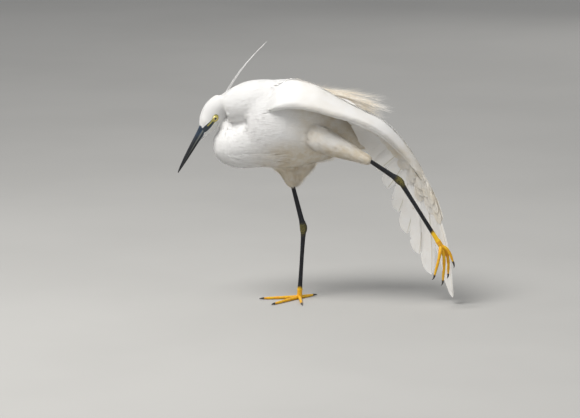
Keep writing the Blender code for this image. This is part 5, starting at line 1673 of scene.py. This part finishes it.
def leg_material(name, foot_share):
    """Black scaly skin with a painted blue sheen, and painted shade in the grooves between the toes' plates.
    foot_share is 0 on a shank, 1 on a foot; the tarsus turns yellow at its lower end.
    """
    legs = settings("legs")
    made, tree, shader = new_material(name, Roughness=0.45, Specular_IOR_Level=0.3, Coat_Weight=0.06,
                                      Coat_Roughness=0.25)
    round_leg, along = vane_place(tree)
    where = place_on_object(tree)
    cloud = noise(tree, where, 260.0, 4.0)
    fine = noise(tree, where, 1100.0, 2.0)
    if foot_share:
        colour = blended(tree, ranged(tree, cloud, 0.35, 0.7), legs.foot, legs.toe_end)
        # Painted shade: darker in the grooves between the plates on top of the toes.
        grooves = maths(tree, "FRACT", times(tree, along, 100 / 2.1))
        groove = ranged(tree, maths(tree, "ABSOLUTE", maths(tree, "SUBTRACT", grooves, 0.5)), 0.40, 0.5)
        top = ranged(tree, round_leg, 0.0, 0.5)
        colour = blended(tree, times(tree, groove, times(tree, top, 0.55)), colour,
                         (0.22, 0.11, 0.015))
        colour = blended(tree, ranged(tree, fine, 0.55, 0.8, 0.0, 0.4), colour, (0.82, 0.60, 0.10))
    else:
        # Painted sheen: blue grey patches painted over the black as a reflection.
        painted_sheen = ranged(tree, cloud, 0.45, 0.75, 0.0, 0.6)
        colour = blended(tree, painted_sheen, legs.skin, (0.018, 0.024, 0.034))
        if "tarsus" in name:
            knee = times(tree, ranged(tree, along, 0.035, 0.09), ranged(tree, along, 0.27, 0.16))
            net = ranged(tree, fine, 0.42, 0.6)
            front = ranged(tree, round_leg, -0.9, 0.2, 0.35, 1.0)
            mask = times(tree, times(tree, knee, front), net)
            colour = blended(tree, mask, colour, legs.joint)
            end = maths(tree, "ADD", along, times(tree, maths(tree, "SUBTRACT", cloud, 0.5), 0.06))
            colour = blended(tree, ranged(tree, end, 1.00, 1.06), colour, legs.foot)
    link(tree, colour, shader.inputs["Base Color"])
    link(tree, ranged(tree, fine, 0.3, 0.7, 0.36, 0.58), shader.inputs["Roughness"])
    bump(tree, shader, fine, 0.35, 0.0003)
    return made


def claw_material():
    made, tree, shader = new_material("claw_horn", Roughness=0.32, Coat_Weight=0.2, Coat_Roughness=0.2)
    grain = noise(tree, place_on_object(tree), 800.0)
    colour = blended(tree, ranged(tree, vane_place(tree)[1], 0.35, 0.0, 0.0, 0.7), settings("legs").claw,
                     (0.16, 0.11, 0.045))
    colour = blended(tree, ranged(tree, grain, 0.4, 0.8, 0.0, 0.5), colour, (0.09, 0.075, 0.06))
    link(tree, colour, shader.inputs["Base Color"])
    link(tree, ranged(tree, grain, 0.3, 0.7, 0.26, 0.45), shader.inputs["Roughness"])
    bump(tree, shader, grain, 0.2, 0.0002)
    return made


# Plumes

CREST_ROOT, CREST_TIP = mm(-117, -1, 302.5), mm(-49.5, -6, 391)
CREST_SPREAD, CREST_BOW = mm(-4, 8, -6), mm(-7, 0, 7)


def barbed_plume(line, normal, shaft, barb, count, lean, curl, rng, thick=0.16, taper=(0.25, 1.0, 0.9, 0.45)):
    """A plume with loose barbs: a shaft blade and single barbs on both sides.

    line and normal are (rows, 3); shaft and thick are half widths in mm; barb is the barbs' length in mm;
    lean is how far they slant forward; curl bends their ends along the normal, in mm.
    """
    rows = len(line)
    t = even(rows)
    along = unit(np.gradient(line, axis=0))
    side = unit(np.cross(normal, along))
    width = np.interp(t, (0, 0.6, 1), (shaft, shaft * 0.7, 0))[None] * MM
    bodies = [blade_arrays(line[None], side[None], normal[None], width, width * 0.8)]
    at = np.sort(rng.uniform(0.06, 0.985, count))
    hand = np.where(np.arange(count) % 2 == 0, 1.0, -1.0)[:, None]

    def mixed(values):
        return np.column_stack([np.interp(at, t, values[:, k]) for k in range(3)])
    start, go, out, up = mixed(line), unit(mixed(along)), unit(mixed(side)) * hand, unit(mixed(normal))
    own = barb * np.interp(at, (0, 0.3, 0.75, 1), taper) * rng.uniform(0.7, 1.15, count)
    f = even(5)[None, :, None]
    slant = lean * rng.uniform(0.75, 1.2, (count, 1, 1))
    reach = own[:, None, None] * MM
    body = (start[:, None] + go[:, None] * reach * f * slant
            + out[:, None] * reach * (f - 0.45 * f ** 2) * (1 - 0.5 * np.minimum(slant, 1))
            + up[:, None] * (rng.uniform(0.2, 1.6, (count, 1, 1)) * curl * MM * f ** 2)
            + rng.normal(0, 0.03, (count, 1, 3)) * reach * f ** 2)
    heading = unit(np.gradient(body, axis=1))
    over = np.broadcast_to(up[:, None], body.shape)
    beside = unit(np.cross(over, heading))
    half = thick * MM * np.array((1.0, 0.95, 0.8, 0.6, 0))[None] * np.ones((count, 1))
    bodies.append(blade_arrays(body, beside, np.cross(heading, beside), half, half * 0.9))
    return bodies


def plume_piece(name, bodies):
    """One mesh of blades, each plume's blades with their own lengthwise map."""
    points, polygons = joined([body[:3] for body in bodies])
    vane_map = np.vstack([
        np.tile(blade_map(np.linspace(0, 0.9, (per - 1) // BLADE_SIDES)), (len(own) // per, 1))
        for own, _, _, per in bodies])
    order = np.concatenate([np.arange(len(body[0])) // body[3] + 1000 * k for k, body in enumerate(bodies)])
    label, number = np.unique(order, return_inverse=True)
    cells = np.random.default_rng(5).random((len(label), 2)) * 0.99
    bake = cells[number] + (vane_map * (0.5, 1) + (0.5, 0)) * TUFT_PATCH
    tone = np.random.default_rng(6).random(len(label))[number]
    return feather_mesh(name, points, polygons, bake, vane_map, tone)


# Operators

finished = {}


def finished_skin():
    if "skin" not in finished:
        raise RuntimeError("Make the skin first: the feathers are set on it.")
    return finished["skin"]


def draws(offset):
    return np.random.default_rng(settings("plumage").seed + offset)


def lay_tufts(name, offset, allowed, kind, blades, fan, spacing=None, **shape):
    """One piece of tufts where allowed says, as close as the skin says or at an even spacing."""
    skin = finished_skin()
    rng = offset if isinstance(offset, np.random.Generator) else draws(offset)

    def distance(points):
        return np.full(len(points), spacing) if spacing else skin.spacing[skin.near(points)]
    piece = tuft_piece(name, skin, skin.roots(distance, allowed, rng), rng, blades, fan, **shape)
    dress(piece, feather_material(kind), "plumage")


def lay_vanes(name, groups, kind, *nodes, on_skin=True):
    """One piece of vanes, with the bake map of the skin or with one of its own."""
    piece = vane_piece(name, groups, finished_skin() if on_skin else None)
    dress(piece, feather_material(kind), "plumage", *nodes)


class EGRET_OT_skin(bpy.types.Operator):
    """Make the one skin under all the feathers"""
    bl_idname = "egret.skin"
    bl_label = "Skin"

    def execute(self, context):
        skin = make_skin()
        finished["skin"] = skin
        dress(skin.obj, skin_material(), "plumage", "head", "neck_upper", "neck_lower", "torso",
              "thigh_right", "thigh_left")
        return {"FINISHED"}


# Where one piece of the coat gives way to the next
BODY_START, BODY_MIDDLE, NECK_MIDDLE = -52 * MM, 4 * MM, 262 * MM


def in_area(points, area):
    """True where more than half of the skin near the points belongs to an area: head, vane or thigh."""
    skin = finished_skin()
    return getattr(skin, area + "_share")[skin.near(points)] > 0.5


def bare(points):
    """True where the bill and the bare skin leave no room for tufts."""
    behind, up, left = head_place(points).T
    skin_here = (bare_share(behind, up) > 0.45) & (np.abs(left) > 3.5)
    bill_here = (behind < -1.5) & (up < 7.5) & (up > -4.8)
    return skin_here | bill_here


SLEEK = (0.85, 1.2, 1.2)    # depth, length and width of tufts that lie close


class EGRET_OT_coat(bpy.types.Operator):
    """Lay tufts over the head, the neck, the body and the thighs"""
    bl_idname = "egret.coat"
    bl_label = "Coat"

    def execute(self, context):
        def neck(points, low):
            return ((points[:, 0] < BODY_START) & ~in_area(points, "head")
                    & ((points[:, 2] < NECK_MIDDLE) == low))

        def body(points, left):
            return ((points[:, 0] >= BODY_START) & ~in_area(points, "vane") & ~in_area(points, "thigh")
                    & ((points[:, 1] < BODY_MIDDLE) == left))
        lay_tufts("coat_head", 1, lambda p: in_area(p, "head") & ~bare(p), "head", 3, 0.12, rows=3, wander=0.05)
        for name, offset, low in (("nape", 2, False), ("throat", 3, True)):
            lay_tufts("coat_" + name, offset, lambda p: neck(p, low), "tuft", 5, 0.13, wander=0.05,
                      scale=SLEEK)
        for side, offset, left in (("left", 5, True), ("right", 4, False)):
            lay_tufts("coat_body_" + side, offset, lambda p: body(p, left), "tuft", 6, 0.18, wander=0.07,
                      scale=SLEEK)
        lay_tufts("coat_thighs", 6, lambda p: in_area(p, "thigh"), "tuft", 5, 0.18, wander=0.10)
        return {"FINISHED"}


class EGRET_OT_plumes(bpy.types.Operator):
    """Set the long loose plumes of the nape and the back"""
    bl_idname = "egret.plumes"
    bl_label = "Plumes"

    def execute(self, context):
        rng = draws(20)
        bodies = []
        for number in range(2):
            tip = CREST_TIP + CREST_SPREAD * number
            root = CREST_ROOT + mm(1.5, 0, -2) * (1 - number)
            line = bowed(root, tip, CREST_BOW, even(40))
            normal = np.broadcast_to(unit(np.cross(tip - root, SIDEWAYS)), line.shape)
            bodies += barbed_plume(line, normal, 0.6, 5.0, 320, 1.6, 0.3, rng, 0.15,
                                   taper=(0.9, 1.0, 0.8, 0.35))
        dress(plume_piece("plumes_nape", bodies), feather_material("plume"), "plumage", "crest")
        bodies = []
        for number in range(13):
            place = (number - 6) / 6
            root = mm(-10 + 14 * abs(place) + rng.uniform(-4, 6), 9 * place + 10, 320 - 6 * place ** 2)
            tip = mm(112 + rng.uniform(-26, 12), 11 * place - 6, 294 + rng.uniform(-12, 9))
            line = bowed(root, tip, mm(8, 0, 10 + rng.uniform(-4, 3)), even(36))
            normal = np.broadcast_to(direction(0.15, 0.1 * place, 1.0), line.shape)
            bodies += barbed_plume(line, normal, 0.4, 25, 80, 1.7, 6.5, rng, 0.13)
        dress(plume_piece("plumes_back", bodies), feather_material("aigrette"), "plumage")
        return {"FINISHED"}


class EGRET_OT_breast(bpy.types.Operator):
    """Set the long feathers that hang over the breast and behind the thigh"""
    bl_idname = "egret.breast"
    bl_label = "Breast feathers"

    def execute(self, context):
        def breast(points):
            x, y, z = points.T / MM
            return (x > -112) & (x < -52) & (z < 226) & (np.abs(y + 2) < 34)

        def thigh_rear(points):
            x, y, z = points.T / MM
            return (x > -12) & (x < 30) & (z < 218) & (z > 172) & (y > -2)
        rng = draws(31)
        lay_tufts("breast_lances", rng, breast, "lance", 4, 0.07, 3.0 * MM, rows=7, wander=0.05,
                  scale=(1.7, 2.5, 1.8))
        lay_tufts("thigh_wisps", rng, thigh_rear, "lance", 5, 0.30, 3.4 * MM, rows=6, wander=0.35,
                  scale=(2.2, 1.5, 0.8), level=0.9)
        return {"FINISHED"}


class EGRET_OT_left_wing(bpy.types.Operator):
    """Build the stretched left wing feather by feather"""
    bl_idname = "egret.left_wing"
    bl_label = "Left wing"

    def execute(self, context):
        lay_vanes("wing_left_flight", [flight_vanes(draws(40))], "flight", "wing_left_hand", on_skin=False)
        lay_vanes("wing_left_coverts", covert_rows(draws(41)), "covert", "wing_left_arm")
        upper = arm_coverts(draws(42), np.arange(216, 30, -9), 4.6 * MM, 20 * MM, 4.2 * MM, 0.3 * MM, 0.62,
                            towards_ridge=True)
        lay_vanes("wing_left_satin", upper, "satin")
        lower = arm_coverts(draws(43), np.arange(201, 350, 14), 5.0 * MM, 20 * MM, 4.8 * MM, 0.7 * MM, 0.5,
                            towards_ridge=False)
        lay_vanes("wing_left_lining", lower, "covert")
        lay_vanes("scapulars", scapular_vanes(draws(44)), "covert")
        return {"FINISHED"}


class EGRET_OT_right_wing(bpy.types.Operator):
    """Build the folded right wing"""
    bl_idname = "egret.right_wing"
    bl_label = "Right wing"

    def execute(self, context):
        lay_vanes("wing_right_coverts", folded_rows(draws(50)), "covert", "wing_right")
        lay_vanes("wing_right_flight", folded_flight(draws(51)), "flight", on_skin=False)
        return {"FINISHED"}


class EGRET_OT_tail(bpy.types.Operator):
    """Build the twelve tail feathers and their coverts"""
    bl_idname = "egret.tail"
    bl_label = "Tail"

    def execute(self, context):
        lay_vanes("tail_feathers", tail_vanes(draws(60)), "flight", "tail", on_skin=False)
        return {"FINISHED"}


class EGRET_OT_bill(bpy.types.Operator):
    """Build both halves of the bill"""
    bl_idname = "egret.bill"
    bl_label = "Bill"

    def execute(self, context):
        finish = bill_material()
        for name, upper in (("bill_upper", True), ("bill_lower", False)):
            dress(loft_piece(name + "_horn", [mandible_loft(upper)]), finish, "bill_horn", name)
        return {"FINISHED"}


class EGRET_OT_face(bpy.types.Operator):
    """Set the eyes, their lids and the bare skin of the face"""
    bl_idname = "egret.face"
    bl_label = "Face"

    def execute(self, context):
        skin = finished_skin()
        eye, bare_skin = eye_material(), face_material()
        surface = BVHTree.FromPolygons([tuple(p) for p in skin.points], skin.triangles.tolist())
        for name, left in (("left", 1), ("right", -1)):
            dress(loft_piece("eyeball_" + name, [eye_loft(left)]), eye, "eye", "eye_" + name)
            dress(loft_piece("lid_" + name, [lid_loft(left)], lore=LID_LORE), bare_skin, "plumage")
            (points, faces, used), shares = face_patch(left, surface)
            patch = mesh_object("lores_" + name, points, [faces], attributes={"lore": shares.ravel()[used]})
            dress(patch, bare_skin, "plumage")
        return {"FINISHED"}


class EGRET_OT_legs(bpy.types.Operator):
    """Build the legs, the feet and the claws"""
    bl_idname = "egret.legs"
    bl_label = "Legs"

    def execute(self, context):
        shank, tarsus = leg_material("leg_shank", 0), leg_material("leg_tarsus", 0)
        foot, claw = leg_material("foot_skin", 1), claw_material()
        legs = (
            ("right", RIGHT_FEATHER_END, RIGHT_ANKLE, RIGHT_FOOT, np.array((-1.0, -0.25, 0)),
             standing_foot_lofts()),
            ("left", LEFT_FEATHER_END, LEFT_ANKLE, LEFT_FOOT, np.array((0.62, -0.3, 0.78)),
             hanging_foot_lofts()),
        )
        for side, start, ankle, end, front, (skins, claws) in legs:
            for part, lofts, material, slot in (
                    ("shank_", [shank_loft(start, ankle, front)], shank, "leg_skin"),
                    ("tarsus_", [tarsus_loft(ankle, start, end, front)], tarsus, "leg_skin"),
                    ("foot_", skins, foot, "foot_skin")):
                dress(loft_piece(part + side + "_skin", lofts), material, slot, part + side)
            names = ["claw_" + side + "_" + name for name in TOE_LENGTHS]
            dress(loft_piece("claws_" + side, claws), claw, "claw_horn", *names)
        return {"FINISHED"}


# Stage

VIEW_WIDTH = 0.870          # that the picture takes in at the bird, in metres
ELEVATION = math.radians(10)
AIM = (-0.015, 0, 0.1371)
FLOOR_SIZE = 14.0
LIGHT_AIM = np.array((0, 0, 0.2))


def floor_material():
    made_floor, tree, shader = new_material("studio_floor", Roughness=0.85, Specular_IOR_Level=0.15)
    stage = settings("stage")
    cloud = noise(tree, place_on_object(tree), 2.2, 3.0)
    darker = tuple(c * 0.96 for c in stage.floor)
    link(tree, blended(tree, ranged(tree, cloud, 0.35, 0.65), stage.floor, darker), shader.inputs["Base Color"])
    bump(tree, shader, noise(tree, place_on_object(tree), 700.0, 2.0), 0.05, 0.0002)
    return made_floor


def area_light(name, power, size, place, colour):
    light = bpy.data.lights.new(name, "AREA")
    light.energy, light.shape, light.size, light.color = power, "DISK", size, colour
    obj = bpy.data.objects.new(name, light)
    obj.location = place
    towards = unit(np.array(place) - LIGHT_AIM)
    obj.rotation_euler = (math.acos(towards[2]), 0, math.atan2(towards[0], -towards[1]))
    bpy.context.scene.collection.objects.link(obj)


class EGRET_OT_stage(bpy.types.Operator):
    """Lay the floor and set the lights and the camera"""
    bl_idname = "egret.stage"
    bl_label = "Stage"

    def execute(self, context):
        stage, scene = settings("stage"), context.scene
        half = FLOOR_SIZE / 2
        corners = np.array([(-half, -half, 0), (half, -half, 0), (half, half, 0), (-half, half, 0)])
        floor = mesh_object("floor", corners, [np.array([[0, 1, 2, 3]])])
        floor.data.materials.append(floor_material())
        area_light("key", stage.key, 1.3, (-0.95, -0.75, 2.3), (1.0, 0.985, 0.96))
        area_light("back", stage.fill, 2.4, (0.8, 2.8, 1.4), (1.0, 0.98, 0.95))
        area_light("fill", stage.fill, 2.4, (1.2, -3.0, 1.0), (1.0, 0.975, 0.93))
        world = bpy.data.worlds.new("studio")
        world.use_nodes = True
        back = world.node_tree.nodes["Background"]
        back.inputs["Color"].default_value = (0.97, 0.98, 1.0, 1)
        back.inputs["Strength"].default_value = stage.sky
        scene.world = world
        scene.view_settings.view_transform = "Standard"
        camera = bpy.data.cameras.new("camera")
        camera.sensor_width = 36
        camera.lens = camera.sensor_width * stage.distance / VIEW_WIDTH
        camera.clip_end = 40
        eye = bpy.data.objects.new("camera", camera)
        away = np.array((0, -math.cos(ELEVATION), math.sin(ELEVATION))) * stage.distance
        eye.location = np.array(AIM) + away
        eye.rotation_euler = (math.pi / 2 - ELEVATION, 0, 0)
        scene.collection.objects.link(eye)
        scene.camera = eye
        return {"FINISHED"}


class EGRET_PT_panel(bpy.types.Panel):
    """Lists the steps that build the egret"""
    bl_label = "Little egret"
    bl_idname = "EGRET_PT_panel"
    bl_space_type = "VIEW_3D"
    bl_region_type = "UI"
    bl_category = "Egret"

    def draw(self, context):
        for step in STEPS:
            self.layout.operator(step.bl_idname)
        for part in SETTINGS:
            group = getattr(context.scene, "egret_" + part)
            for label in group.bl_rna.properties.keys():
                if label not in ("name", "rna_type"):
                    self.layout.prop(group, label)


STEPS = (EGRET_OT_stage, EGRET_OT_skin, EGRET_OT_coat, EGRET_OT_breast, EGRET_OT_left_wing,
         EGRET_OT_right_wing, EGRET_OT_tail, EGRET_OT_plumes, EGRET_OT_bill, EGRET_OT_face, EGRET_OT_legs)
SETTINGS = {"plumage": PlumageSettings, "face": FaceSettings, "legs": LegSettings, "stage": StageSettings}


def register():
    for group in (*SETTINGS.values(), *STEPS, EGRET_PT_panel):
        bpy.utils.register_class(group)
    for part, group in SETTINGS.items():
        setattr(bpy.types.Scene, "egret_" + part, PointerProperty(type=group))


def unregister():
    for part in SETTINGS:
        delattr(bpy.types.Scene, "egret_" + part)
    for group in reversed((*SETTINGS.values(), *STEPS, EGRET_PT_panel)):
        bpy.utils.unregister_class(group)


def main():
    register()
    for step in STEPS:
        family, name = step.bl_idname.split(".")
        getattr(getattr(bpy.ops, family), name)()


if __name__ == "__main__":
    main()
